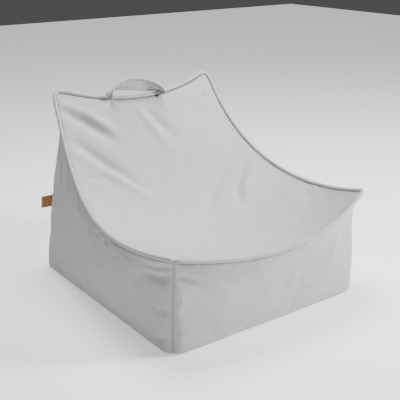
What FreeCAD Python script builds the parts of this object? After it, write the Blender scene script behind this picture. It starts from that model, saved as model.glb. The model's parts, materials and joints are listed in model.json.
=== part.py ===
import FreeCAD, Part
import Sketcher
import math
import os

# Lounge bean bag: a sewn canvas cover with a piped seat panel, a carry handle and a leather tag,
# closed by a zip across the back, round a zipped inner liner full of polystyrene beads.
# Millimetres. +Z is up, the front faces -Y, and the origin is the middle of the base on the floor.

Vector = FreeCAD.Vector
Rotation = FreeCAD.Rotation
Placement = FreeCAD.Placement

doc = FreeCAD.newDocument("BeanBagChair")

# ---------------------------------------------------------------- driving dimensions

SIZES = [
    ("base_width", 600, "base panel, left to right"),
    ("base_depth", 644, "base panel, front to rear"),
    ("ear_height", 520, "rear corners of the seat panel above the floor"),
    ("ear_spread", 514, "between the rear corners"),
    ("ear_setback", 287, "rear corners behind the middle"),
    ("nose_height", 284, "front corners above the floor"),
    ("nose_spread", 614, "between the front corners"),
    ("nose_reach", 338, "front corners ahead of the middle"),
    ("back_control_width", 574, "side seam, rear control point"),
    ("back_control_y", 130, "side seam, rear control point"),
    ("back_control_height", 222, "side seam, rear control point"),
    ("arm_control_width", 754, "side seam, front control point"),
    ("arm_control_y", -111, "side seam, front control point"),
    ("arm_control_height", 208, "side seam, front control point"),
    ("front_bulge", 57, "middle of the front seam ahead of its ends"),
    ("front_dip", 61, "middle of the front seam below its ends"),
    ("rear_sag", 42, "middle of the rear seam ahead of its ends"),
    ("rear_dip", 45, "middle of the rear seam below its ends"),
    ("seat_dish", 25, "extra hollow in the middle of the seat"),
    ("flat_back_height", 120, "rear wall is a plane up to here"),
    ("fabric", 1.2, "cover canvas with its seam allowance"),
    ("seam_gap", 0.3, "between panels that are sewn together"),
    ("piping_radius", 4.5, "outside of the piping casing"),
    ("piping_cord_radius", 3.0, "filler cord in the piping"),
    ("piping_ease", 0.2, "casing around its cord"),
    ("piping_stand", 1.0, "piping clear of the panels"),
    ("ear_turn", 2.3, "piping further out round the ears than beside them, times"),
    ("piping_join", 1, "front piping stops short of the front corners"),
    ("piping_run", 41, "longest run between two turns of the piping's path"),
    ("handle_centre", -20, "middle of the handle, left is negative"),
    ("handle_span", 170, "between the handle's sewn ends"),
    ("handle_rise", 36, "arch of the handle's centre line"),
    ("handle_width", 45, "strap width"),
    ("handle_tilt", 60, "degrees, strap turned on edge at the top"),
    ("handle_ply", 0.9, "each canvas face of the strap"),
    ("webbing", 1.0, "webbing between the strap's faces"),
    ("ply_gap", 0.1, "between the strap's layers"),
    ("handle_stand", 1.0, "strap ends above the piping"),
    ("tag_height", 203, "middle of the leather tag above the floor"),
    ("tag_length", 32, "tag from its seam to its fold"),
    ("tag_width", 31, "tag along the seam"),
    ("tag_ply", 1.2, "leather thickness"),
    ("tag_slit", 0.2, "between the tag's two plies"),
    ("flap_stand", 0.5, "tag and label clear of the panels"),
    ("label_height", 62, "middle of the care label above the floor"),
    ("label_length", 26, "label out from its seam"),
    ("label_width", 40, "label along the seam"),
    ("label_ply", 0.4, "folded satin"),
    ("zip_height", 64, "cover zip above the floor, along the rear wall"),
    ("zip_length", 440, "cover zip between its stops"),
    ("liner_zip_height", 104, "liner zip above the floor"),
    ("liner_zip_length", 300, "liner zip between its stops"),
    ("tape_width", 11, "zip tape beside its teeth"),
    ("tape_tail", 15, "zip tape past its stops, sewn under"),
    ("tape", 0.6, "zip tape thickness"),
    ("teeth_height", 2.4, "one row of teeth across the zip"),
    ("teeth_depth", 2.6, "teeth front to back"),
    ("teeth_parting", 1.4, "between the two rows, for the slider's wedge"),
    ("zip_play", 0.3, "slider around the teeth and the tape"),
    ("slider_wall", 1.0, "slider plates"),
    ("slider_length", 12, "slider along the zip"),
    ("stop_length", 3, "end stops along the zip"),
    ("pull_length", 24, "pull tab"),
    ("pull_width", 6, "pull tab"),
    ("pull", 1.0, "pull tab thickness"),
    ("pull_pin_radius", 0.7, "pin the pull tab swings on"),
    ("pull_eye_wall", 0.8, "pull tab round its pin"),
    ("slot_depth", 40, "cutter for the slider's slot, through the rear wall"),
    ("liner_fabric", 0.4, "liner cloth"),
    ("liner_gap", 5, "liner inside the cover"),
    ("liner_rear_gap", 11, "liner inside the cover at the zip"),
    ("bead_gap", 1.0, "beads inside the liner"),
    ("bead_zip_gap", 4, "beads inside the liner at its zip"),
]

sheet = doc.addObject("Spreadsheet::Sheet", "Sizes")
for row, (alias, value, meaning) in enumerate(SIZES, start=1):
    sheet.set(f"A{row}", meaning)
    sheet.set(f"B{row}", str(value))
    sheet.setAlias(f"B{row}", alias)
doc.recompute()


def size(alias):
    """One driving dimension from the sheet."""
    return float(getattr(sheet, alias))


# ---------------------------------------------------------------- the bag's shape

def mix(start, end, share):
    return start + (end - start) * share


def side_seam(b):
    """Right-hand side seam of the seat panel, b from 0 at the front to 1 at the rear: a cubic Bezier."""
    front = Vector(size("nose_spread") / 2, -size("nose_reach"), size("nose_height"))
    arm = Vector(size("arm_control_width") / 2, size("arm_control_y"), size("arm_control_height"))
    back = Vector(size("back_control_width") / 2, size("back_control_y"), size("back_control_height"))
    rear = Vector(size("ear_spread") / 2, size("ear_setback"), size("ear_height"))
    f = 1 - b
    return front * f ** 3 + arm * (3 * f * f * b) + back * (3 * f * b * b) + rear * b ** 3


def top_height(a, b):
    """Seat surface above the floor, a from -1 at the left seam to 1 at the right."""
    middle = 1 - a * a
    dish = mix(size("front_dip"), size("rear_dip"), b) + size("seat_dish") * 4 * b * (1 - b)
    return side_seam(b).z - middle * dish


def column(a, b, z):
    """Point of the bag at height z on the upright line that joins base (a, b) to seat (a, b)."""
    seam = side_seam(b)
    share = z / seam.z
    x = a * mix(size("base_width") / 2, seam.x, share)
    y = mix((b - 0.5) * size("base_depth"), seam.y, share)
    flat = size("flat_back_height")
    leaning = max(0.0, (z - flat) / (top_height(a, b) - flat))
    forward = mix(size("front_bulge"), size("rear_sag"), b) * (1 - a * a)
    return Vector(x, y - forward * leaning ** 2, z)


floor_lift = size("fabric") + size("seam_gap")


def bag(a, b, c, gap=0.0, rear_gap=0.0):
    """Point inside the cover: c runs from 0 at the base to 1 at the seat, all kept gap inside."""
    a = a * (1 - 2 * gap / size("base_width"))
    b = mix(gap, size("base_depth") - max(gap, rear_gap), b) / size("base_depth")
    low = floor_lift + gap
    high = top_height(a, b) - gap
    return column(a, b, mix(low, high, c))


# ---------------------------------------------------------------- solids from mapped blocks

def clamped_knots(poles, degree):
    spans = poles - degree
    values = [float(i) for i in range(spans + 1)]
    return values, [degree + 1] + [1] * (spans - 1) + [degree + 1]


def net_face(rows):
    """Smooth face whose control points are a grid of points."""
    degree_u = min(3, len(rows) - 1)
    degree_v = min(3, len(rows[0]) - 1)
    knots_u, multiplicities_u = clamped_knots(len(rows), degree_u)
    knots_v, multiplicities_v = clamped_knots(len(rows[0]), degree_v)
    surface = Part.BSplineSurface()
    surface.buildFromPolesMultsKnots(
        rows, multiplicities_u, multiplicities_v, knots_u, knots_v, False, False, degree_u, degree_v)
    return surface.toShape()


def steps(count):
    """Places of control points from 0 to 1 that keep a smooth curve evenly paced: each is the mean
    of the three knots around it."""
    degree = min(3, count - 1)
    knots, multiplicities = clamped_knots(count, degree)
    spread = [knot for knot, times in zip(knots, multiplicities) for _ in range(times)]
    return [sum(spread[i + 1:i + degree + 1]) / degree / knots[-1] for i in range(count)]


def block(place, count_u, count_v, count_w):
    """Closed solid: the unit cube's six faces carried through place(u, v, w)."""
    us = steps(count_u)
    vs = steps(count_v)
    ws = steps(count_w)
    faces = []
    for end in (0.0, 1.0):
        faces.append(net_face([[place(u, v, end) for v in vs] for u in us]))
        faces.append(net_face([[place(u, end, w) for w in ws] for u in us]))
        faces.append(net_face([[place(end, v, w) for w in ws] for v in vs]))
    skin = Part.makeCompound(faces)
    skin.sewShape()
    solid = Part.Solid(skin.Shells[0])
    if solid.Volume < 0:
        solid.reverse()
    return solid


sub_parts = []


def keep(item, label):
    """Name a document object as one of the chair's sub-parts."""
    item.Label = label
    sub_parts.append(item)
    return item


def add_shape(label, shape, placement=None):
    item = doc.addObject("Part::Feature", label)
    item.Shape = shape
    if placement is not None:
        item.Placement = placement
    return keep(item, label)


ALONG = 15      # control points across the bag and from front to rear
UP = 6          # control points from base to seat
STRAP = 21      # control points along the handle


def wall_panels(prefix, cloth, gap, rear_gap):
    """Seat, side and front panels of one bag. Each is cloth thick, outwards from the bag's surface."""
    ease = size("seam_gap")

    def point(a, b, c):
        return bag(a, b, c, gap, rear_gap)

    def seat(u, v, w):
        return point(2 * u - 1, v, 1) + Vector(0, 0, ease + w * cloth)

    def side(direction):
        def place(u, v, w):
            return point(direction, u, v) + Vector(direction * (ease + w * cloth), 0, 0)
        return place

    def front(u, v, w):
        return point(2 * u - 1, 0, v) - Vector(0, ease + w * cloth, 0)

    add_shape(prefix + "seat_panel", block(seat, ALONG, ALONG, 2))
    add_shape(prefix + "left_panel", block(side(-1), ALONG, UP, 2))
    add_shape(prefix + "right_panel", block(side(1), ALONG, UP, 2))
    add_shape(prefix + "front_panel", block(front, ALONG, UP, 2))


# ---------------------------------------------------------------- rear wall and its zips

def rear_wall_frame(height, gap, rear_gap):
    """Frame on the inner face of a rear panel: X along the zip, Y out of the bag, Z up the wall."""
    low = bag(0, 1, 0, gap, rear_gap)
    high = bag(0, 1, 1, gap, rear_gap)
    here = bag(0, 1, (height - low.z) / (high.z - low.z), gap, rear_gap)
    lean = math.degrees(math.atan2(low.y - here.y, here.z - low.z))
    return Placement(here, Rotation(Vector(1, 0, 0), lean))


slider_half = size("teeth_parting") / 2 + size("teeth_height") + size("zip_play") + size("slider_wall")
slot_half = slider_half + size("zip_play")


def rear_panels(prefix, cloth, gap, rear_gap, height, length):
    """Rear wall in two pieces, above and below its zip, with a slot between them for the slider."""
    ease = size("seam_gap")
    slot_length = length + 2 * (size("stop_length") + ease)
    depth = size("slot_depth")
    slot = Part.makeBox(slot_length, depth, 2 * slot_half,
                        Vector(-slot_length / 2, -depth / 2, -slot_half))
    slot.Placement = rear_wall_frame(height, gap, rear_gap)

    def strip(bottom, top):
        def place(u, v, w):
            low = bag(2 * u - 1, 1, 0, gap, rear_gap)
            high = bag(2 * u - 1, 1, 1, gap, rear_gap)
            z = mix(bottom or low.z, top or high.z, v)
            share = (z - low.z) / (high.z - low.z)
            return bag(2 * u - 1, 1, share, gap, rear_gap) + Vector(0, ease + w * cloth, 0)
        return block(place, ALONG, UP, 2).cut(slot)

    add_shape(prefix + "rear_panel_lower", strip(None, height - ease / 2))
    add_shape(prefix + "rear_panel_upper", strip(height + ease / 2, None))


# ---------------------------------------------------------------- parametric pieces

def cell(alias):
    return "Sizes." + alias


def box(name, spans, corner):
    """Part::Box whose three sizes and lowest corner are expressions."""
    item = doc.addObject("Part::Box", name)
    for edge, span in zip(("Length", "Width", "Height"), spans):
        item.setExpression(edge, span)
    for axis, place in zip("xyz", corner):
        item.setExpression("Placement.Base." + axis, place)
    return item


def rod(name, radius, height, centre):
    """Part::Cylinder along Z whose sizes and lower centre are expressions."""
    item = doc.addObject("Part::Cylinder", name)
    item.setExpression("Radius", radius)
    item.setExpression("Height", height)
    for axis, place in zip("xyz", centre):
        item.setExpression("Placement.Base." + axis, place)
    return item


def fuse(name, pieces):
    item = doc.addObject("Part::MultiFuse", name)
    item.Shapes = pieces
    return item


def cut(name, base, tool):
    item = doc.addObject("Part::Cut", name)
    item.Base = base
    item.Tool = tool
    return item


def padded_rectangle(label, width, depth, thickness):
    """PartDesign body: a centred rectangle, padded upwards. Its sizes are expressions."""
    body = doc.addObject("PartDesign::Body", label)
    planes = {feature.Role: feature for feature in body.Origin.OriginFeatures}
    sketch = body.newObject("Sketcher::SketchObject", label + "_outline")
    sketch.AttachmentSupport = [(planes["XY_Plane"], "")]
    sketch.MapMode = "FlatFace"
    corners = [Vector(-1, -1, 0), Vector(1, -1, 0), Vector(1, 1, 0), Vector(-1, 1, 0)]
    directions = ("Horizontal", "Vertical", "Horizontal", "Vertical")
    for index, corner in enumerate(corners):
        sketch.addGeometry(Part.LineSegment(corner, corners[(index + 1) % 4]), False)
    for index, direction in enumerate(directions):
        sketch.addConstraint(Sketcher.Constraint("Coincident", index, 2, (index + 1) % 4, 1))
        sketch.addConstraint(Sketcher.Constraint(direction, index))
    sketch.addConstraint(Sketcher.Constraint("Symmetric", 0, 1, 1, 2, -1, 1))
    across = sketch.addConstraint(Sketcher.Constraint("DistanceX", 0, 1, 0, 2, 2.0))
    sketch.setExpression(f"Constraints[{across}]", width)
    along = sketch.addConstraint(Sketcher.Constraint("DistanceY", 1, 1, 1, 2, 2.0))
    sketch.setExpression(f"Constraints[{along}]", depth)
    pad = body.newObject("PartDesign::Pad", label + "_pad")
    pad.Profile = sketch
    pad.setExpression("Length", thickness)
    return keep(body, label)


# ---------------------------------------------------------------- piping round the seat panel

def seat_normal(a, b):
    """Upward normal of the seat panel."""
    step = 0.01
    across = bag(min(a + step, 1), b, 1) - bag(max(a - step, -1), b, 1)
    along = bag(a, min(b + step, 1), 1) - bag(a, max(b - step, 0), 1)
    return across.cross(along).normalize()


def seam_curve(poles):
    """The smooth curve that an edge of the panels follows."""
    knots, multiplicities = clamped_knots(ALONG, 3)
    curve = Part.BSplineCurve()
    curve.buildFromPolesMultsKnots(poles, multiplicities, knots, False, 3)
    return curve


def side_edge(a):
    return seam_curve([bag(a, t, 1) for t in steps(ALONG)])


def cross_edge(b):
    return seam_curve([bag(2 * t - 1, b, 1) for t in steps(ALONG)])


def seam_point(a, b):
    """Point on an edge of the seat panel."""
    if abs(a) == 1:
        curve = side_edge(a)
        share = b
    else:
        curve = cross_edge(b)
        share = (a + 1) / 2
    return curve.value(share * curve.LastParameter)


def run_count(curve):
    """Runs of piping along an edge, so that none is longer than the longest run."""
    return math.ceil(curve.length() / size("piping_run"))


piping_reach = size("piping_radius") + size("fabric") + size("piping_stand")


def piping_point(a, b, outward):
    """Centre of the piping: out from the seam at (a, b), halfway between seat and wall."""
    return seam_point(a, b) + (seat_normal(a, b) + outward).normalize() * piping_reach


def piping_corner(direction):
    """Control point of the piping round an ear: out sideways and up past the rear seam."""
    up_seam = (seat_normal(direction, 1) + REAR).normalize()
    return seam_point(direction, 1) + (RIGHT * direction + up_seam) * piping_reach * size("ear_turn")


def rounded_path(points):
    """Straight runs joined by tangent arcs, as large as the runs allow."""
    share = 0.45
    edges = []
    last = points[0]
    for before, corner, after in zip(points, points[1:], points[2:]):
        arriving = corner - before
        leaving = after - corner
        back = share * min(arriving.Length, leaving.Length)
        arriving.normalize()
        leaving.normalize()
        turn = arriving.getAngle(leaving)
        radius = back / math.tan(turn / 2)
        inward = (leaving - arriving).normalize()
        start = corner - arriving * back
        middle = corner + inward * radius * (1 / math.cos(turn / 2) - 1)
        end = corner + leaving * back
        edges.append(Part.LineSegment(last, start).toShape())
        edges.append(Part.Arc(start, middle, end).toShape())
        last = end
    edges.append(Part.LineSegment(last, points[-1]).toShape())
    return Part.Wire(edges)


def swept_rod(path, radius):
    """Round rod along a path."""
    start = path.Edges[0]
    ring = Part.Wire(Part.makeCircle(radius, start.valueAt(start.FirstParameter), start.tangentAt(0)))
    return path.makePipeShell([ring], True, False)


def add_piping(prefix, points):
    """Bias-cut casing round a filler cord."""
    path = rounded_path(points)
    cord = swept_rod(path, size("piping_cord_radius"))
    hollow = swept_rod(path, size("piping_cord_radius") + size("piping_ease"))
    casing = swept_rod(path, size("piping_radius")).cut(hollow)
    add_shape(prefix + "_casing", casing)
    add_shape(prefix + "_cord", cord)


RIGHT = Vector(1, 0, 0)
REAR = Vector(0, 1, 0)
UPWARD = Vector(0, 0, 1)


def surround_points():
    """From the right front corner back over both ears to the left front corner."""
    side_count = run_count(side_edge(1))
    rear_count = run_count(cross_edge(1))
    right_side = [piping_point(1, i / side_count, RIGHT) for i in range(side_count)]
    left_side = [piping_point(-1, i / side_count, -RIGHT) for i in range(side_count)]
    rear = [piping_point(1 - 2 * i / rear_count, 1, REAR) for i in range(1, rear_count)]
    return right_side + [piping_corner(1)] + rear + [piping_corner(-1)] + left_side[::-1]


def front_points():
    front_count = run_count(cross_edge(0))
    edge = 1 - 2 * size("piping_join") / size("nose_spread")
    return [piping_point(edge * (2 * i / front_count - 1), 0, -REAR) for i in range(front_count + 1)]


# ---------------------------------------------------------------- carry handle

def handle_foot(direction):
    """Where a sewn end of the handle stands, on top of the rear piping."""
    x = size("handle_centre") + direction * size("handle_span") / 2
    seam = piping_point(2 * x / size("ear_spread"), 1, REAR)
    return seam + UPWARD * (size("piping_radius") + size("handle_stand"))


def handle_layer(label, low, high):
    """One layer of the strap, between two depths through its thickness. The centre line is half an
    ellipse on the two feet, and the strap turns on edge towards the top."""
    left = handle_foot(-1)
    right = handle_foot(1)
    half_span = size("handle_span") / 2

    def place(u, v, w):
        angle = math.pi * u
        centre = mix(left, right, (1 - math.cos(angle)) / 2)
        centre = centre + UPWARD * size("handle_rise") * math.sin(angle)
        along = Vector(half_span * math.sin(angle), 0, size("handle_rise") * math.cos(angle)).normalize()
        outward = Vector(-along.z, 0, along.x)
        tilt = math.radians(size("handle_tilt")) * math.sin(angle) ** 2
        across = outward * math.sin(tilt) - REAR * math.cos(tilt)
        through = along.cross(across)
        return centre + across * (v - 0.5) * size("handle_width") + through * mix(low, high, w)

    add_shape(label, block(place, STRAP, 4, 2))


def add_handle():
    half_web = size("webbing") / 2
    inner = half_web + size("ply_gap")
    outer = inner + size("handle_ply")
    handle_layer("handle_top_face", -outer, -inner)
    handle_layer("handle_webbing", -half_web, half_web)
    handle_layer("handle_under_face", inner, outer)


# ---------------------------------------------------------------- tag and care label

def rear_corner_frame(direction, height, stand):
    """Frame beside the upright seam between a side and the rear wall: X out sideways, Z up the seam."""
    low = bag(direction, 1, 0)
    high = bag(direction, 1, 1)
    seam = mix(low, high, (height - low.z) / (high.z - low.z))
    clear = size("seam_gap") + size("fabric") + stand
    base = seam + RIGHT * direction * clear + REAR * size("fabric") / 2
    return Placement(base, Rotation(RIGHT * direction, Vector(), high - low, "ZXY"))


def add_tag():
    """Strip of leather folded in half, its two ends in the left rear seam and its fold outside."""
    whole = f"(2 * {cell('tag_ply')} + {cell('tag_slit')})"
    straight = f"{cell('tag_length')} - {whole} / 2"
    outside = box("tag_straight", (straight, whole, cell("tag_width")),
                  ("0", f"-{whole} / 2", f"-{cell('tag_width')} / 2"))
    fold = rod("tag_fold", f"{whole} / 2", cell("tag_width"),
               (straight, "0", f"-{cell('tag_width')} / 2"))
    slit = box("tag_slit_space", (straight, cell("tag_slit"), f"2 * {cell('tag_width')}"),
               ("-0.01", f"-{cell('tag_slit')} / 2", f"-{cell('tag_width')}"))
    tag = cut("leather_tag", fuse("tag_outside", [outside, fold]), slit)
    stand = size("flap_stand") + size("tag_ply") + size("tag_slit") / 2
    tag.Placement = rear_corner_frame(-1, size("tag_height"), stand)
    keep(tag, "leather_tag")


def add_care_label():
    """Folded satin label in the right rear seam, low down."""
    label = doc.addObject("Part::Box", "care_label")
    label.setExpression("Length", cell("label_length"))
    label.setExpression("Width", cell("label_ply"))
    label.setExpression("Height", cell("label_width"))
    corner = Vector(0, -size("label_ply") / 2, -size("label_width") / 2)
    frame = rear_corner_frame(1, size("label_height"), size("flap_stand") + size("label_ply") / 2)
    label.Placement = frame.multiply(Placement(corner, Rotation()))
    keep(label, "care_label")


# ---------------------------------------------------------------- zips

def zip_box(label, frame, spans, corner):
    """Plain strip or block of a zip: sizes from the sheet, lowest corner in the zip's own frame."""
    item = doc.addObject("Part::Box", label)
    for edge, span in zip(("Length", "Width", "Height"), spans):
        item.setExpression(edge, span)
    item.Placement = frame.multiply(Placement(corner, Rotation()))
    return keep(item, label)


def zip_start(length):
    """Where the slider's middle stands when the zip is closed."""
    return -(length - size("slider_length")) / 2 + size("zip_play")


def slider_pieces(prefix):
    """Slider in the zip's frame, closed end: two plates and four lips round the teeth, joined by a
    wedge that runs between the rows."""
    half = f"({cell('teeth_parting')} / 2 + {cell('teeth_height')} + {cell('zip_play')}" \
           f" + {cell('slider_wall')})"
    depth = f"({cell('teeth_depth')} + 2 * {cell('zip_play')} + 2 * {cell('slider_wall')})"
    length = cell("slider_length")
    back = f"-{cell('tape')} / 2 - {depth} / 2"
    block_outside = box(prefix + "slider_block", (length, depth, f"2 * {half}"),
                        (f"-{length} / 2", back, f"-{half}"))
    room = f"({cell('teeth_height')} + 2 * {cell('zip_play')})"
    wedge = f"({cell('teeth_parting')} / 2 - {cell('zip_play')})"
    beyond = f"2 * {length}"
    spaces = []
    for name, low in (("upper", wedge), ("lower", f"-{wedge} - {room}")):
        spaces.append(box(prefix + "slider_room_" + name,
                          (beyond, f"{cell('teeth_depth')} + 2 * {cell('zip_play')}", room),
                          (f"-{length}", f"{back} + {cell('slider_wall')}", low)))
    for name, low in (("upper", wedge), ("lower", f"-{wedge} - {half}")):
        spaces.append(box(prefix + "slider_tape_" + name,
                          (beyond, f"{cell('tape')} + 2 * {cell('zip_play')}", half),
                          (f"-{length}", f"-{cell('tape')} - {cell('zip_play')}", low)))
    return cut(prefix + "slider_channel", block_outside, fuse(prefix + "slider_spaces", spaces))


pin_stand = size("pull_pin_radius") + 2 * size("zip_play") + size("slider_wall")
slider_front = (size("teeth_depth") - size("tape")) / 2 + size("zip_play") + size("slider_wall")
pin_place = Vector(0, slider_front + pin_stand, 0)

SLIDER_FRONT = f"({cell('teeth_depth')} - {cell('tape')}) / 2 + {cell('zip_play')} + {cell('slider_wall')}"
PIN_STAND = f"({cell('pull_pin_radius')} + 2 * {cell('zip_play')} + {cell('slider_wall')})"
PIN_DEPTH = f"({SLIDER_FRONT} + {PIN_STAND})"
EYE_HALF = f"({cell('pull_width')} / 4)"
EYE_INNER = f"({cell('pull_pin_radius')} + {cell('zip_play')})"
EYE_OUTER = f"({EYE_INNER} + {cell('pull_eye_wall')})"


def add_pull_slider(label, frame):
    """Slider with two ears and the pin that its pull tab swings on."""
    wall = cell("slider_wall")
    play = cell("zip_play")
    ear_half = f"({cell('pull_pin_radius')} + {wall})"
    ear_spans = (f"2 * {ear_half}", f"{PIN_STAND} + {ear_half}", wall)
    upper = box("ear_upper", ear_spans, (f"-{ear_half}", SLIDER_FRONT, f"{EYE_HALF} + {play}"))
    lower = box("ear_lower", ear_spans, (f"-{ear_half}", SLIDER_FRONT, f"-{EYE_HALF} - {play} - {wall}"))
    pin_half = f"({EYE_HALF} + {play} + {wall})"
    pin = rod("pull_pin", cell("pull_pin_radius"), f"2 * {pin_half}", ("0", PIN_DEPTH, f"-{pin_half}"))
    slider = fuse(label, [slider_pieces("cover_"), pin, upper, lower])
    slider.Placement = frame
    keep(slider, label)


def add_pull(label, frame):
    """Pull tab lying along the zip: an eye round the pin, a narrow neck and a wider tab."""
    face = f"{PIN_DEPTH} - {cell('pull')} / 2"
    eye = rod("pull_eye", EYE_OUTER, f"2 * {EYE_HALF}", ("0", PIN_DEPTH, f"-{EYE_HALF}"))
    neck = box("pull_neck", (f"2 * {EYE_OUTER} + {cell('slider_wall')}", cell("pull"), f"2 * {EYE_HALF}"),
               ("0", face, f"-{EYE_HALF}"))
    tab = box("pull_tab", (cell("pull_length"), cell("pull"), cell("pull_width")),
              (f"2 * {EYE_OUTER}", face, f"-{cell('pull_width')} / 2"))
    hole = rod("pull_hole", EYE_INNER, f"4 * {EYE_HALF}", ("0", PIN_DEPTH, f"-2 * {EYE_HALF}"))
    pull = cut(label, fuse("pull_solid", [eye, neck, tab]), hole)
    pull.Placement = frame
    keep(pull, label)


def add_zip(prefix, height, length_name, gap, rear_gap, with_pull):
    frame = rear_wall_frame(height, gap, rear_gap)
    length = size(length_name)
    stop = size("stop_length")
    tape_length = f"{cell(length_name)} + 2 * ({cell('stop_length')} + {cell('tape_tail')})"
    middle = -size("tape") / 2
    depth = size("teeth_depth")
    row = size("teeth_parting") / 2
    row_top = row + size("teeth_height")
    tape_low = row_top + size("ply_gap")
    half_tape = length / 2 + stop + size("tape_tail")
    for name, teeth_z, tape_z in (("upper", row, tape_low),
                                  ("lower", -row_top, -tape_low - size("tape_width"))):
        zip_box(f"{prefix}zip_teeth_{name}", frame,
                (cell(length_name), cell("teeth_depth"), cell("teeth_height")),
                Vector(-length / 2, middle - depth / 2, teeth_z))
        zip_box(f"{prefix}zip_tape_{name}", frame,
                (tape_length, cell("tape"), cell("tape_width")),
                Vector(-half_tape, -size("tape"), tape_z))
    across = f"2 * ({cell('teeth_parting')} / 2 + {cell('teeth_height')})"
    for name, x in (("closed", -length / 2 - stop - size("ply_gap")),
                    ("open", length / 2 + size("ply_gap"))):
        zip_box(f"{prefix}zip_{name}_stop", frame,
                (cell("stop_length"), cell("teeth_depth"), across),
                Vector(x, middle - depth / 2, -row_top))
    shifted = frame.multiply(Placement(Vector(zip_start(length), 0, 0), Rotation()))
    if with_pull:
        add_pull_slider(prefix + "zip_slider", shifted)
        add_pull(prefix + "zip_pull", shifted)
    else:
        slider = slider_pieces(prefix)
        slider.Placement = shifted
        keep(slider, prefix + "zip_slider")
    return shifted


# ---------------------------------------------------------------- the chair, from outside in

cover_gap = 0.0
inner_gap = size("liner_gap")
inner_rear_gap = size("liner_rear_gap")

wall_panels("cover_", size("fabric"), cover_gap, cover_gap)
rear_panels("cover_", size("fabric"), cover_gap, cover_gap, size("zip_height"), size("zip_length"))
padded_rectangle("cover_base_panel", cell("base_width"), cell("base_depth"), cell("fabric"))
add_piping("surround_piping", surround_points())
add_piping("front_piping", front_points())
add_handle()
add_tag()
add_care_label()
cover_slider = add_zip("cover_", size("zip_height"), "zip_length", cover_gap, cover_gap, True)

wall_panels("liner_", size("liner_fabric"), inner_gap, inner_rear_gap)
rear_panels("liner_", size("liner_fabric"), inner_gap, inner_rear_gap,
            size("liner_zip_height"), size("liner_zip_length"))
liner_base = padded_rectangle("liner_base_panel",
                              f"{cell('base_width')} - 2 * {cell('liner_gap')}",
                              f"{cell('base_depth')} - {cell('liner_gap')} - {cell('liner_rear_gap')}",
                              cell("liner_fabric"))
liner_base.Placement.Base = Vector(0, (inner_gap - inner_rear_gap) / 2,
                                   floor_lift + inner_gap - size("seam_gap") - size("liner_fabric"))
liner_slider = add_zip("liner_", size("liner_zip_height"), "liner_zip_length",
                       inner_gap, inner_rear_gap, False)


def beads(u, v, w):
    gap = inner_gap + size("bead_gap")
    return bag(2 * u - 1, v, w, gap, inner_rear_gap + size("bead_zip_gap"))


add_shape("bead_fill", block(beads, ALONG, ALONG, UP))

# ---------------------------------------------------------------- check and write

doc.recompute()
for item in doc.Objects:
    if "Invalid" in item.State or "Error" in item.State:
        raise RuntimeError(f"{item.Label} failed: {item.State}")
for item in sub_parts:
    if item.Shape.isNull() or not item.Shape.isValid() or item.Shape.Volume <= 0:
        raise RuntimeError(f"{item.Label} has no valid solid")

os.makedirs("parts", exist_ok=True)
for item in sub_parts:
    item.Shape.exportStep(f"parts/{item.Label}.step")

foot_rise = UPWARD * (size("piping_radius") + size("handle_stand"))
tag_frame = rear_corner_frame(-1, size("tag_height"), size("flap_stand") + size("tag_ply"))
label_frame = rear_corner_frame(1, size("label_height"), size("flap_stand"))
landmarks = [
    ("handle seam, left", handle_foot(-1) - foot_rise),
    ("handle seam, right", handle_foot(1) - foot_rise),
    ("leather tag seam", tag_frame.Base),
    ("leather tag seam direction", tag_frame.Rotation.multVec(UPWARD)),
    ("care label seam", label_frame.Base),
    ("care label seam direction", label_frame.Rotation.multVec(UPWARD)),
    ("pull tab pin", cover_slider.multVec(pin_place)),
    ("pull tab pin direction", cover_slider.Rotation.multVec(UPWARD)),
]
for name, point in landmarks:
    print(f"{name}: {point.x:.4f} {point.y:.4f} {point.z:.4f}")
print(f"{len(sub_parts)} sub-parts written")
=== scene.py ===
import json
import math

import bmesh
import bpy
import numpy as np
from bpy.props import FloatProperty, FloatVectorProperty, IntProperty, PointerProperty
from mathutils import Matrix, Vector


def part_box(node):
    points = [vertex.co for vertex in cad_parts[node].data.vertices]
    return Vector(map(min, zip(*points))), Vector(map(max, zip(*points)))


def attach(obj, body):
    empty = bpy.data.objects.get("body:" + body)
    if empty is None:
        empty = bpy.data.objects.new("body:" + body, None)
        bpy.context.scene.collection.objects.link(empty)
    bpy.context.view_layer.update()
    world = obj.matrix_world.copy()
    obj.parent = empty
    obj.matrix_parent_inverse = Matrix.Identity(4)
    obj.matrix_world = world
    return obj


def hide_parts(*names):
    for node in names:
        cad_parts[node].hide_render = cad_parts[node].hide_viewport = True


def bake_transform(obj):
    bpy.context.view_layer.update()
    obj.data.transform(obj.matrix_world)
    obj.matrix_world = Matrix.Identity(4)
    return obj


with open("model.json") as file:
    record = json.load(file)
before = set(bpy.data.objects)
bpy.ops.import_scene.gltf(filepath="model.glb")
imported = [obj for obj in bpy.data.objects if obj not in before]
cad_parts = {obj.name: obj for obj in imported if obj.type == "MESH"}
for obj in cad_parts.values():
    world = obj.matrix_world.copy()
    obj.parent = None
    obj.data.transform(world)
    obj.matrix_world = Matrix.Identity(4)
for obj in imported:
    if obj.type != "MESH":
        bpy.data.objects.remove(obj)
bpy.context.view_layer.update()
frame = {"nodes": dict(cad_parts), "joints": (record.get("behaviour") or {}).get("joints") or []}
BASE_LOW, BASE_HIGH = (np.array(corner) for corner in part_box("cover_base_panel"))
BASE_HALF = BASE_HIGH[0]
BASE_DEPTH = BASE_HIGH[1] - BASE_LOW[1]
EAR_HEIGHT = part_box("cover_left_panel")[1].z

bl_info = {
    "name": "Lounge Bean Bag",
    "version": (1, 0, 0),
    "blender": (4, 5, 0),
    "location": "3D View > Sidebar > Bean Bag",
    "description": "Builds the cloth, trim and stage of a piped canvas bean bag round its fixed frame",
    "category": "Add Mesh",
}

RIGHT = np.array([1.0, 0.0, 0.0])
REAR = np.array([0.0, 1.0, 0.0])
UP = np.array([0.0, 0.0, 1.0])


# ---------------------------------------------------------------- settings

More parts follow.
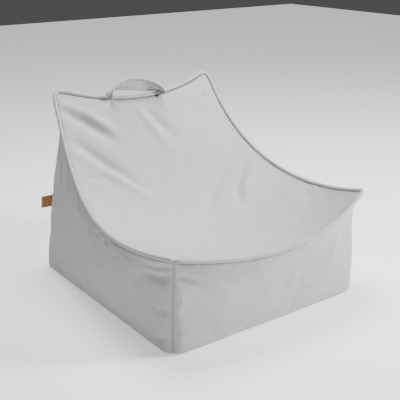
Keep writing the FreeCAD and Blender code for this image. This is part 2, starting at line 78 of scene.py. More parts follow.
def length(name, description, default):
    return FloatProperty(name=name, description=description, default=default, unit="LENGTH")


def place(name, description, default):
    return FloatVectorProperty(name=name, description=description, default=default,
                               subtype="TRANSLATION", unit="LENGTH")


def colour(name, description, default):
    return FloatVectorProperty(name=name, description=description, default=default,
                               subtype="COLOR", min=0.0, max=1.0)


class BagShape(bpy.types.PropertyGroup):
    """Where the seams run and how the filled cloth stands off them."""
    nose: place("Nose", "Front end of the right side seam", (0.307, -0.338, 0.284))
    arm: place("Arm", "Front control point of the side seam", (0.377, -0.111, 0.208))
    back: place("Back", "Rear control point of the side seam", (0.287, 0.130, 0.222))
    ear: place("Ear", "Rear end of the side seam", (0.260, 0.289, EAR_HEIGHT + 0.002))
    slump: place("Slump", "How far the left nose has sunk", (0.0, -0.009, -0.036))
    front_bulge: length("Front bulge", "Middle of the front seam ahead of its ends", 0.057)
    front_dip: length("Front dip", "Middle of the front seam below its ends", 0.061)
    rear_sag: length("Rear sag", "Middle of the rear seam ahead of its ends", 0.042)
    rear_dip: length("Rear dip", "Middle of the rear seam below its ends", 0.045)
    seat_dish: length("Seat dish", "Extra hollow in the middle of the seat", 0.025)
    flat_back: length("Flat back", "The walls rise straight up to here", 0.120)
    spread_side: length("Spread sideways", "Foot pushed out at the front corners", 0.008)
    spread_front: length("Spread forwards", "Foot pushed out at the front", 0.012)
    belly: length("Belly", "Walls pushed out by the beads", 0.009)
    plane_height: length("Plane height", "The rear wall is plane up to here, for the zip", 0.125)
    plane_fade: length("Plane fade", "Above that, the rear belly grows within this", 0.12)
    ear_pinch: length("Ear pinch", "Cloth drawn in below the ears", 0.0126)
    ear_pinch_depth: length("Ear pinch depth", "Where the cloth below an ear is drawn in most", 0.085)
    nose_pinch: length("Nose pinch", "Cloth drawn in below the right nose", 0.0133)
    nose_pinch_depth: length("Nose pinch depth", "Where the cloth below a nose is drawn in most", 0.055)
    pinch_reach: length("Pinch reach", "How far round a tip the cloth is drawn in", 0.085)
    front_corner: length("Front corner", "Softness of the front corners at the floor", 0.012)
    rear_corner: length("Rear corner", "Softness of the rear corners at the floor", 0.006)
    ear_corner: length("Ear corner", "Softness of the ears", 0.0085)
    nose_corner: length("Nose corner", "Softness of the noses", 0.0012)
    toe: length("Toe", "Walls tucked under at the floor", 0.005)
    toe_height: length("Toe height", "Height of that tuck", 0.013)
    puff: length("Puff", "Panels stand off their seams", 0.0042)
    puff_reach: length("Puff reach", "How soon they stand off", 0.0040)
    # Reach of the shade painted into the cloth's colour at the seams.
    painted_shade_reach: length("Seam shade", "How far the seams darken the cloth", 0.0026)
    fold_strength: FloatProperty(name="Fold strength", description="Depth of every fold", default=1.55)
    pucker: length("Pucker", "Height of the small gathers at the seams", 0.00045)
    cloth: length("Cloth", "Canvas thickness", 0.0010)
    hem: length("Hem", "Half round edge of the canvas at the zip", 0.0016)
    lining_inset: length("Lining inset", "Inner bag inside the cover", 0.010)
    lining_cloth: length("Lining cloth", "Thickness of the inner bag", 0.0003)


class SimulationShape(bpy.types.PropertyGroup):
    """The cloth simulation of the cover."""
    spacing: length("Spacing", "Between points of the simulated cloth", 0.009)
    frames: IntProperty(name="Frames", description="Steps of the simulation", default=16)
    pressure: FloatProperty(name="Pressure", description="Of the beads on the cover", default=0.20)
    slack: FloatProperty(name="Slack", description="Cloth cut larger than its place", default=0.003)
    cap_out: length("Cap outwards", "Furthest that a point may move", 0.006)
    ruffle: length("Ruffle", "Unevenness that the cloth starts from", 0.0012)


class TrimShape(bpy.types.PropertyGroup):
    """Piping, welts, handle, tag and label."""
    piping: length("Piping radius", "Outside of the casing", 0.0049)
    piping_cord: length("Piping cord radius", "Filler cord", 0.0030)
    piping_reach: length("Piping reach", "Centre of the piping outside its seam", 0.0050)
    piping_step: length("Piping step", "Between the rings of the piping", 0.0026)
    piping_taper: length("Piping taper", "The ends narrow over this", 0.010)
    welt: length("Welt radius", "Upright and base seams", 0.0009)
    handle_centre: length("Handle centre", "Left of the middle is negative", -0.020)
    handle_span: length("Handle span", "Between its sewn ends", 0.170)
    handle_rise: length("Handle rise", "Arch of the centre line", 0.030)
    handle_lean: FloatProperty(name="Handle lean", description="Share of the arch moved left",
                               default=0.20)
    handle_tilt: FloatProperty(name="Handle tilt", description="Strap turned on edge at the top",
                               default=math.radians(70), subtype="ANGLE", unit="ROTATION")
    handle_width: length("Handle width", "Of the strap", 0.042)
    handle_hem: length("Handle hem", "Rolled edge of the strap", 0.0075)
    handle_roll: length("Handle roll", "Radius of that edge", 0.0026)
    handle_ply: length("Handle ply", "Each canvas face", 0.0008)
    webbing: length("Webbing", "Thickness inside the strap", 0.0010)
    blend_height: length("Blend height", "Strap bends above its seam", 0.020)
    tag_ply: length("Tag ply", "Leather thickness", 0.0012)
    tag_inset: length("Tag inset", "The seam stands inside the tag's hinge", 0.0105)
    label_ply: length("Label ply", "Satin thickness", 0.00022)
    flap_bend: length("Flap bend", "Tag and label bend within this of their seams", 0.006)
    thread: length("Thread radius", "Sewing thread", 0.00030)
    stitch: length("Stitch", "Between the stitches of the strap", 0.0032)
    coil_wire: length("Coil wire", "Radius of the zip teeth's wire", 0.00042)


class Colours(bpy.types.PropertyGroup):
    """Base colours, in scene linear light."""
    canvas: colour("Canvas", "Cover cloth", (0.46, 0.46, 0.465))
    thread: colour("Thread", "Sewing thread", (0.36, 0.36, 0.365))
    leather: colour("Leather", "Tan tag", (0.42, 0.205, 0.075))
    satin: colour("Satin", "Care label", (0.80, 0.80, 0.78))
    tape: colour("Tape", "Zip tape", (0.30, 0.30, 0.30))
    coil: colour("Coil", "Zip teeth", (0.26, 0.26, 0.26))
    metal: colour("Metal", "Painted slider and stops", (0.30, 0.30, 0.31))
    liner: colour("Liner", "Inner bag", (0.80, 0.80, 0.79))
    cotton: colour("Cotton", "Filler cord and webbing", (0.72, 0.68, 0.60))
    bead: colour("Beads", "Polystyrene", (0.88, 0.88, 0.87))
    floor: colour("Floor", "Studio floor", (0.88, 0.88, 0.88))


class StageShape(bpy.types.PropertyGroup):
    """Camera, lights and floor."""
    azimuth: FloatProperty(name="Azimuth", description="Camera round the object",
                           default=math.radians(-36.82), subtype="ANGLE", unit="ROTATION")
    elevation: FloatProperty(name="Elevation", description="Camera above the floor",
                             default=math.radians(19.28), subtype="ANGLE", unit="ROTATION")
    distance: length("Distance", "Camera from its target", 2.253)
    target: place("Target", "What the camera looks at", (0.06905, 0.05941, 0.200))
    lens: FloatProperty(name="Lens", description="Focal length in millimetres", default=70.2)
    key: FloatProperty(name="Key light", description="Watts", default=132.0)
    fill: FloatProperty(name="Top light", description="Watts", default=74.0)
    world: FloatProperty(name="World", description="Brightness of the surroundings", default=0.08)
    glow: FloatProperty(name="Floor glow", description="Light given off by the floor", default=0.6)


SETTINGS = {
    "bag_shape": BagShape,
    "bag_simulation": SimulationShape,
    "bag_trim": TrimShape,
    "bag_colours": Colours,
    "bag_stage": StageShape,
}


def settings(name):
    return getattr(bpy.context.scene, name)


# ---------------------------------------------------------------- shader maths

def join(tree, socket, value):
    """Link a wire to a socket, or write a plain value into it."""
    if isinstance(value, Wire):
        tree.links.new(value.socket, socket)
    else:
        socket.default_value = value


class Wire:
    """A shader output that can be used in sums. Each operator adds one Math node."""

    def __init__(self, tree, socket):
        self.tree = tree
        self.socket = socket

    def maths(self, operation, first, second=0.0):
        node = self.tree.nodes.new("ShaderNodeMath")
        node.operation = operation
        join(self.tree, node.inputs[0], first)
        join(self.tree, node.inputs[1], second)
        return Wire(self.tree, node.outputs[0])

    def __add__(self, other):
        return self.maths("ADD", self, other)

    def __radd__(self, other):
        return self.maths("ADD", other, self)

    def __sub__(self, other):
        return self.maths("SUBTRACT", self, other)

    def __rsub__(self, other):
        return self.maths("SUBTRACT", other, self)

    def __mul__(self, other):
        return self.maths("MULTIPLY", self, other)

    def __rmul__(self, other):
        return self.maths("MULTIPLY", other, self)

    def sine(self):
        return self.maths("SINE", self)

    def size(self):
        return self.maths("ABSOLUTE", self)


class Finish:
    """One procedural material: a Principled shader and what feeds it."""

    def __init__(self, name, roughness, **fixed):
        self.material = bpy.data.materials.new(name)
        self.material.use_nodes = True
        self.tree = self.material.node_tree
        self.shader = self.tree.nodes["Principled BSDF"]
        self.shader.inputs["Roughness"].default_value = roughness
        for socket, value in fixed.items():
            self.shader.inputs[socket.replace("_", " ")].default_value = value

    def node(self, kind, settings=None, sockets=None, output=0):
        """Add a node: its type, its settings, then the values or wires of its sockets."""
        node = self.tree.nodes.new("ShaderNode" + kind)
        for name, value in (settings or {}).items():
            setattr(node, name, value)
        for name, value in (sockets or {}).items():
            found = [socket for socket in node.inputs if name in (socket.name, socket.identifier)]
            join(self.tree, found[-1] if name == found[-1].identifier else found[0], value)
        return Wire(self.tree, node.outputs[output])

    def object_place(self):
        return self.node("TexCoord", output=3)

    def cloth_place(self):
        return self.node("TexCoord", output=2)

    def parts(self, vector):
        """The X and Y of a vector."""
        split = self.node("SeparateXYZ", None, {"Vector": vector})
        return split, Wire(self.tree, split.socket.node.outputs[1])

    def noise(self, where, scale, detail=2.0):
        return self.node("TexNoise", None, {"Vector": where, "Scale": scale, "Detail": detail})

    def stretched(self, where, scale, turn=0.0):
        """A place scaled differently along each axis, and turned about Z."""
        return self.node("Mapping", None, {"Vector": where, "Scale": scale, "Rotation": (0, 0, turn)})

    def mixed(self, share, first, second):
        """Colour between two colours."""
        return self.node("Mix", {"data_type": "RGBA", "clamp_factor": False},
                         {"Factor_Float": share, "A_Color": first, "B_Color": second}, output=2)

    def tint(self, share, base, low, high):
        """Base colour from low to high times its brightness, as share goes from 0 to 1."""
        dark = [channel * low for channel in base] + [1.0]
        light = [min(1.0, channel * high) for channel in base] + [1.0]
        join(self.tree, self.shader.inputs["Base Color"], self.mixed(share, dark, light))

    def relief(self, height, strength, distance):
        normal = self.node("Bump", None, {"Height": height, "Strength": strength, "Distance": distance})
        join(self.tree, self.shader.inputs["Normal"], normal)

    def rough(self, value):
        join(self.tree, self.shader.inputs["Roughness"], value)


def woven(name, base, pitch, turn=0.0, relief=0.5, mottle=0.10, sheen=0.20):
    """Plain weave: two sine waves across each other lift the threads, and threads differ in tone. The
    seam attribute paints shade into the colour at the seams.
    """
    finish = Finish(name, 0.85, Sheen_Weight=sheen, Sheen_Roughness=0.5, Specular_IOR_Level=0.25)
    spot = finish.object_place()
    cloth = finish.stretched(finish.cloth_place(), (1.0, 1.0, 1.0), turn)
    across, along = finish.parts(cloth)
    wave = math.pi / pitch
    weave = (across * wave).sine() * (along * wave).sine()
    fibres = finish.noise(spot, 0.30 / pitch, 4.0)
    warp = finish.noise(finish.stretched(cloth, (1 / pitch, 0.06 / pitch, 1.0)), 1.0)
    weft = finish.noise(finish.stretched(cloth, (0.06 / pitch, 1 / pitch, 1.0)), 1.0)
    clouds = finish.noise(spot, 28.0, 2.0)
    tone = fibres * 0.5 + warp * 0.2 + weft * 0.2 + clouds * 0.1
    # Painted shade: the seam attribute darkens the cloth's colour in the grooves under the piping and
    # along the floor.
    painted_groove_shade = finish.node("Attribute", {"attribute_name": "seam"}, output=2)
    finish.tint((tone - 0.5) * 3.0 + 0.5 - painted_groove_shade * (0.5 / mottle), base, 1 - mottle, 1 + mottle)
    finish.relief(weave * 0.5 + fibres * 0.7, relief, pitch * 0.35)
    finish.rough(0.78 + fibres * 0.14)
    return finish.material


def leather(name, base):
    """Smooth vegetable-tanned hide: fine pores, paler and rougher where it is rubbed."""
    finish = Finish(name, 0.5, Specular_IOR_Level=0.45)
    spot = finish.object_place()
    pores = finish.node("TexVoronoi", {"feature": "F1"}, {"Vector": spot, "Scale": 1500.0})
    patches = finish.noise(spot, 110.0, 4.0)
    finish.tint(patches * 1.6 - 0.3, base, 0.72, 1.22)
    finish.relief(pores * 0.6 + finish.noise(spot, 900.0) * 0.5, 0.35, 0.0002)
    finish.rough(0.40 + patches * 0.28)
    return finish.material


def grained(name, base, scale, low, high, roughness, depth, **fixed):
    """Painted metal, moulded plastic or thread: a fine noise in its tone, gloss and relief."""
    finish = Finish(name, roughness, **fixed)
    spot = finish.object_place()
    grain = finish.noise(spot, scale, 3.0)
    finish.tint(grain, base, low, high)
    finish.relief(grain, 0.3, depth)
    finish.rough(roughness - 0.08 + grain * 0.16)
    return finish.material


def non_woven(name, base):
    """Bonded liner cloth: a grid of pressed dots among loose fibres."""
    finish = Finish(name, 0.8, Sheen_Weight=0.1, Specular_IOR_Level=0.3)
    cloth = finish.cloth_place()
    across, along = finish.parts(cloth)
    dots = (across * 1200.0).sine() * (along * 1200.0).sine()
    fibres = finish.noise(finish.object_place(), 500.0, 5.0)
    finish.tint(fibres, base, 0.9, 1.08)
    finish.relief(fibres - dots.size() * 0.6, 0.5, 0.0003)
    return finish.material


def foam_beads(name, base):
    """Packed expanded beads: rounded cells with darker joints."""
    finish = Finish(name, 0.6)
    spot = finish.object_place()
    cells = finish.node("TexVoronoi", {"feature": "F1"}, {"Vector": spot, "Scale": 230.0})
    finish.tint(1 - cells, base, 0.55, 1.05)
    finish.relief(1 - cells, 0.9, 0.002)
    return finish.material


FINISHES = {}


def finish(key):
    """A finish by its key, made the first time that it is asked for."""
    colours = settings("bag_colours")
    makers = {
        "canvas": lambda: woven("canvas", colours.canvas, 0.0011, 0.0, 0.5, 0.22),
        "piping": lambda: woven("piping_canvas", colours.canvas, 0.0011, math.radians(45), 0.5, 0.22),
        "strap": lambda: woven("handle_canvas", colours.canvas, 0.0010, 0.0, 0.6, 0.22),
        "web": lambda: woven("webbing", colours.cotton, 0.0016, 0.0, 0.8),
        "cord": lambda: woven("filler_cord", colours.cotton, 0.0012, math.radians(35), 0.9),
        "satin": lambda: woven("label_satin", colours.satin, 0.0004, 0.0, 0.3, 0.04, 0.5),
        "tape": lambda: woven("zip_tape", colours.tape, 0.0007, 0.0, 0.6),
        "coil": lambda: grained("zip_coil", colours.coil, 700.0, 0.85, 1.15, 0.42, 0.0001),
        "metal": lambda: grained("zip_metal", colours.metal, 1600.0, 0.9, 1.1, 0.38, 0.00005,
                                 Metallic=0.6),
        "thread": lambda: grained("sewing_thread", colours.thread, 2500.0, 0.8, 1.25, 0.7, 0.0001),
        "leather": lambda: leather("tag_leather", colours.leather),
        "liner": lambda: non_woven("liner_cloth", colours.liner),
        "beads": lambda: foam_beads("foam_beads", colours.bead),
    }
    if key not in FINISHES:
        FINISHES[key] = makers[key]()
    return FINISHES[key]


# ---------------------------------------------------------------- meshes from arrays

def wrapped(count, closed):
    """Each index and the next one, round to the first if the row is closed."""
    last = count if closed else count - 1
    first = np.arange(last)
    return first, (first + 1) % count


def grid_faces(rows, columns, closed_rows=False, closed_columns=False, flip=False):
    """Quads of a grid of points, numbered row by row."""
    low, high = wrapped(rows, closed_rows)
    left, right = wrapped(columns, closed_columns)
    a = low[:, None] * columns + left
    b = high[:, None] * columns + left
    c = high[:, None] * columns + right
    d = low[:, None] * columns + right
    quads = np.stack([a, d, c, b] if flip else [a, b, c, d], axis=-1)
    return quads.reshape(-1, 4).tolist()


def cloth_map(points):
    """Lengths along the rows and the columns of a grid, from its middle: the cloth's own measure."""
    along = np.linalg.norm(np.diff(points, axis=0), axis=2)
    across = np.linalg.norm(np.diff(points, axis=1), axis=2)
    v = np.concatenate([np.zeros((1, points.shape[1])), np.cumsum(along, axis=0)])
    u = np.concatenate([np.zeros((points.shape[0], 1)), np.cumsum(across, axis=1)], axis=1)
    middle = points.shape[1] // 2
    return np.stack([u - u[:, middle:middle + 1], v], axis=-1)


def new_mesh(name, points, faces, cloth=None, seam=None):
    """A smooth-shaded object at the origin. cloth is a UV, in metres, for each point, and seam is the
    shade painted into each point's colour at the seams, kept as the point attribute seam."""
    mesh = bpy.data.meshes.new(name)
    mesh.from_pydata(points.reshape(-1, 3).tolist(), [], faces)
    mesh.polygons.foreach_set("use_smooth", np.ones(len(mesh.polygons), bool))
    if cloth is not None:
        corners = np.zeros(len(mesh.loops), np.int32)
        mesh.loops.foreach_get("vertex_index", corners)
        layer = mesh.uv_layers.new(name="cloth")
        layer.uv.foreach_set("vector", cloth.reshape(-1, 2)[corners].astype(np.float32).ravel())
    if seam is not None:
        layer = mesh.attributes.new("seam", "FLOAT", "POINT")
        layer.data.foreach_set("value", seam.astype(np.float32).ravel())
    mesh.update()
    piece = bpy.data.objects.new(name, mesh)
    bpy.context.scene.collection.objects.link(piece)
    return piece


def dress(piece, finish_key, body=None, nodes=()):
    """Finish, body and the frame nodes that a piece stands for."""
    piece.data.materials.clear()
    piece.data.materials.append(finish(finish_key))
    if body:
        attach(piece, body)
    if nodes:
        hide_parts(*nodes)
    return piece


def thicken(piece, amount):
    """Give a sheet its thickness, inwards."""
    wall = piece.modifiers.new("Thickness", "SOLIDIFY")
    wall.thickness = amount
    wall.offset = -1.0
    return piece


def merge(piece, distance):
    """Weld points that lie together, so that the piece is one closed skin."""
    work = bmesh.new()
    work.from_mesh(piece.data)
    bmesh.ops.remove_doubles(work, verts=work.verts, dist=distance)
    bmesh.ops.recalc_face_normals(work, faces=work.faces)
    work.to_mesh(piece.data)
    work.free()


def tube(name, path, radii, sides, finish_key, body, nodes=(), closed=False):
    """Round rod along a path. At each point a ring of cos and sin stands square to the path, and each
    end closes on its centre."""
    tangents = directions(path, closed)
    normals = steady_normals(tangents)
    binormals = np.cross(tangents, normals)
    turn = np.linspace(0, 2 * math.pi, sides, endpoint=False)
    radii = np.broadcast_to(radii, len(path))[:, None, None]
    rings = path[:, None] + radii * (np.cos(turn)[None, :, None] * normals[:, None]
                                     + np.sin(turn)[None, :, None] * binormals[:, None])
    faces = grid_faces(len(path), sides, closed, True, flip=True)
    steps = np.linalg.norm(np.diff(path, axis=0), axis=1)
    v = np.concatenate([[0.0], np.cumsum(steps)])
    u = turn * float(np.mean(radii))
    cloth = np.stack(np.broadcast_arrays(u[None, :], v[:, None]), axis=-1).reshape(-1, 2)
    points = rings.reshape(-1, 3)
    if not closed:
        first = len(points)
        points = np.concatenate([points, path[:1], path[-1:]])
        cloth = np.concatenate([cloth, cloth[:1], cloth[-1:]])
        last_ring = (len(path) - 1) * sides
        here, after = wrapped(sides, True)
        start_cap = np.stack([after, here, np.full(sides, first)], axis=1)
        end_cap = np.stack([here + last_ring, after + last_ring, np.full(sides, first + 1)], axis=1)
        faces += start_cap.tolist() + end_cap.tolist()
    return dress(new_mesh(name, points, faces, cloth), finish_key, body, nodes)


def unit(vectors):
    return vectors / np.maximum(np.linalg.norm(vectors, axis=-1, keepdims=True), 1e-12)


def directions(path, closed=False):
    """Unit tangents of a path, from the points either side."""
    if closed:
        return unit(np.roll(path, -1, axis=0) - np.roll(path, 1, axis=0))
    return unit(np.gradient(path, axis=0))


def steady_normals(tangents):
    """A normal at each tangent: the part of one fixed direction that is square to it. The fixed
    direction is the one that the path leans on least."""
    lean = np.abs(tangents).mean(axis=0)
    fixed = np.eye(3)[int(np.argmin(lean))]
    return unit(fixed - tangents * (tangents @ fixed)[:, None])


def smoothed(path, passes):
    """Path with each point moved to the mean of itself and its neighbours, a few times over."""
    for _ in range(passes):
        middle = (path[:-2] + 2 * path[1:-1] + path[2:]) / 4
        path = np.concatenate([path[:1], middle, path[-1:]])
    return path


def evenly(path, spacing):
    """Path read again at even steps along its length."""
    steps = np.linalg.norm(np.diff(path, axis=0), axis=1)
    run = np.concatenate([[0.0], np.cumsum(steps)])
    places = np.linspace(0, run[-1], max(3, int(round(run[-1] / spacing)) + 1))
    return np.stack([np.interp(places, run, path[:, axis]) for axis in range(3)], axis=1)


def stitches(name, line, outward, pitch, body):
    """A row of thread stitches along a line: each is a short rod with rounded ends that dips into
    the cloth, bowed towards outward. One stitch is worked out once and carried to every place."""
    trim = settings("bag_trim")
    path = evenly(line, pitch)
    places = np.linspace(0, len(line) - 1, len(path))
    outward = np.broadcast_to(outward, line.shape)
    outward = np.stack([np.interp(places, np.arange(len(line)), outward[:, axis]) for axis in range(3)],
                       axis=1)
    along = directions(path)
    up = unit(outward - along * np.sum(along * outward, axis=1, keepdims=True))
    side = np.cross(along, up)
    stations = np.linspace(-1, 1, 5)
    turn = np.linspace(0, 2 * math.pi, 6, endpoint=False)
    thick = trim.thread * np.sqrt(np.maximum(0.05, 1 - stations ** 4))
    x = np.repeat(stations * pitch * 0.40, len(turn))
    bow = np.repeat((1 - stations ** 2) * trim.thread * 1.1, len(turn))
    y = (thick[:, None] * np.cos(turn)).ravel()
    z = (thick[:, None] * np.sin(turn)).ravel() + bow
    places = (path[:, None] + x[None, :, None] * along[:, None] + y[None, :, None] * side[:, None]
              + z[None, :, None] * up[:, None])
    start_cap = np.array([[5, 4, 3, 2], [5, 2, 1, 0]])
    end_cap = np.array([[0, 1, 2, 3], [0, 3, 4, 5]]) + (len(stations) - 1) * len(turn)
    one = np.concatenate([grid_faces(len(stations), len(turn), False, True), start_cap, end_cap])
    faces = (one + (np.arange(len(path)) * len(x))[:, None, None]).reshape(-1, 4).tolist()
    return dress(new_mesh(name, places, faces), "thread", body)


# ---------------------------------------------------------------- the bag's shape

def mix(start, end, share):
    return start + (end - start) * share


def side_seam(b):
    """Right side seam from the nose (b = 0) to the ear (b = 1): a cubic on four control points."""
    shape = settings("bag_shape")
    b = b[..., None]
    f = 1 - b
    controls = [np.array(point) for point in (shape.nose, shape.arm, shape.back, shape.ear)]
    weights = (f ** 3, 3 * f * f * b, 3 * f * b * b, b ** 3)
    return sum(weight * point for weight, point in zip(weights, controls))


def softened(a, b, c):
    """The same place after the corners are rounded: near a corner, each wall is drawn in by
    radius times exp(-distance / radius), which meets the other wall without an edge."""
    shape = settings("bag_shape")
    run = mix(BASE_DEPTH, 1.45 * BASE_DEPTH, c * b)
    foot = mix(shape.front_corner, shape.rear_corner, b)
    tip = mix(shape.nose_corner, shape.ear_corner, b)
    radius = mix(foot, tip, c)
    near_end = np.minimum(b, 1 - b) * run
    near_side = (1 - np.abs(a)) * BASE_HALF
    side = np.abs(a) ** 8
    end = np.abs(2 * b - 1) ** 8
    new_a = a * (1 - side * radius * np.exp(-near_end / radius) / BASE_HALF)
    new_b = b - np.sign(2 * b - 1) * end * radius * np.exp(-near_side / radius) / run
    return new_a, new_b


def bag(a, b, c, inset=0.0):
    """Point of the filled bag. a runs from -1 at the left to 1 at the right, b from 0 at the front to
    1 at the rear and c from 0 at the floor to 1 on the seat. The place is the mix, by height, of the
    base rectangle and the seams; the walls then lean, belly out, draw in below the tips and tuck
    under at the floor. inset shrinks the whole shape inwards by about that much."""
    shape = settings("bag_shape")
    a, b, c = np.broadcast_arrays(np.asarray(a, float), np.asarray(b, float), np.asarray(c, float))
    outer_a, outer_b = a, b
    a, b = softened(a, b, c)
    a = a * (1 - inset / BASE_HALF)
    b = mix(inset / BASE_DEPTH, 1 - 1.3 * inset / BASE_DEPTH, b)
    seam = side_seam(b)
    slack = ((1 - a) / 2) ** 3 * (1 - b) ** 4
    seam_z = seam[..., 2] + shape.slump[2] * slack
    middle = 1 - a ** 2
    dish = mix(shape.front_dip, shape.rear_dip, b) + shape.seat_dish * 4 * b * (1 - b)
    top = seam_z - middle * dish
    z = mix(inset * 0.7, top * (1 - 4 * inset), c)
    share = z / seam_z
    spread = 1 - b
    x = a * mix(BASE_HALF + shape.spread_side * spread, seam[..., 0], share)
    y = mix((b - 0.5) * BASE_DEPTH - shape.spread_front * spread, seam[..., 1], share)
    y = y + shape.slump[1] * slack * share ** 2
    leaning = np.clip((z - shape.flat_back) / (top - shape.flat_back), 0, None)
    y = y - mix(shape.front_bulge, shape.rear_sag, b) * middle * leaning ** 2

    side = np.abs(outer_a) ** 8
    end = np.abs(2 * outer_b - 1) ** 8
    right = np.sign(outer_a)
    rear = np.sign(2 * outer_b - 1)
    free = np.where(rear > 0, np.clip((z - shape.plane_height) / shape.plane_fade, 0, 1), 1.0)
    x = x + right * side * shape.belly * 16 * c * (1 - c) * outer_b * (1 - outer_b)
    y = y + rear * end * free * shape.belly * 4 * c * (1 - c) * (1 - outer_a ** 4)

    from_corner = (((1 - np.abs(outer_a)) * BASE_HALF) ** 2
                   + (np.minimum(outer_b, 1 - outer_b) * BASE_DEPTH) ** 2)
    drop = np.maximum(top - z, 0)
    ear_drop = drop / shape.ear_pinch_depth
    nose_drop = drop / shape.nose_pinch_depth
    nose_share = mix(0.35, 1.0, (outer_a + 1) / 2)
    pinch = np.where(rear > 0, shape.ear_pinch * ear_drop * np.exp(1 - ear_drop),
                     shape.nose_pinch * nose_share * nose_drop * np.exp(1 - nose_drop))
    pinch = pinch * np.exp(-from_corner / shape.pinch_reach ** 2) * np.maximum(side, end)
    x = x - right * pinch
    y = y - rear * pinch

    low = np.clip(z / shape.toe_height, 0, 1)
    tuck = shape.toe * (1 - np.sqrt(np.maximum(0, 1 - (1 - low) ** 2)))
    x = x - right * side * tuck
    y = y - rear * end * tuck
    return np.stack([x, y, z], axis=-1)


# Each panel of the cover: the place in the bag of its own two measures u and v, from 0 to 1.
def seat_panel(u, v, inset=0.0):
    return bag(2 * u - 1, v, 1.0, inset)


def left_panel(u, v, inset=0.0):
    return bag(-1.0, 1 - u, v, inset)


def right_panel(u, v, inset=0.0):
    return bag(1.0, u, v, inset)


def front_panel(u, v, inset=0.0):
    return bag(2 * u - 1, 0.0, v, inset)


def rear_panel(u, v, inset=0.0):
    return bag(1 - 2 * u, 1.0, v, inset)


def base_panel(u, v, inset=0.0):
    return bag(1 - 2 * u, v, 0.0, inset)


# The panels' places, with the cloth's width and height in metres.
PANELS = {
    "seat": (seat_panel, 0.62, 0.78),
    "left": (left_panel, 0.66, 0.34),
    "right": (right_panel, 0.66, 0.34),
    "front": (front_panel, 0.60, 0.26),
    "rear": (rear_panel, 0.60, 0.50),
}


def panel_normals(points):
    """Outward unit normals of a panel's grid, from the differences along it."""
    return unit(np.cross(np.gradient(points, axis=0), np.gradient(points, axis=1)))


def crowded(count, crowding=0.72):
    """Places from 0 to 1 that stand closer together near both ends."""
    t = np.linspace(0, 1, count)
    return t - crowding * np.sin(2 * math.pi * t) / (2 * math.pi)


def panel_grid(name, u, v):
    """Points of a panel. Rows follow u and columns follow v."""
    return PANELS[name][0](*np.meshgrid(u, v, indexing="ij"))


def edge_distance(name, u, v):
    """Distance of each point of a panel from its nearest seam, along the cloth."""
    width, height = PANELS[name][1:]
    across = np.minimum(u, 1 - u)[:, None] * width
    upward = np.minimum(v, 1 - v)[None, :] * height
    return across, upward


def off_seams(name, u, v):
    """0 on a panel's seams, and soon 1 away from them."""
    reach = settings("bag_shape").puff_reach
    across, upward = edge_distance(name, u, v)
    return (1 - np.exp(-across / reach)) * (1 - np.exp(-upward / reach))


def painted_seam_shade(name, u, v):
    """Painted shade of the cloth at a panel's seams, standing in for the groove under the piping and
    the contact line at the floor:
    strong along the piping and at the floor, slight beside the upright seams, fading within a few
    millimetres."""
    reach = settings("bag_shape").painted_shade_reach
    across, upward = edge_distance(name, u, v)
    side = np.exp(-across / reach) if name == "seat" else 0.45 * np.exp(-across / (0.5 * reach))
    strength = 1.0 if name == "seat" else 1.35
    return np.maximum(side, strength * np.exp(-upward / reach))


def puffed(name, u, v):
    """How far a panel stands off: nothing at a seam, then soon the whole puff."""
    return settings("bag_shape").puff * off_seams(name, u, v)


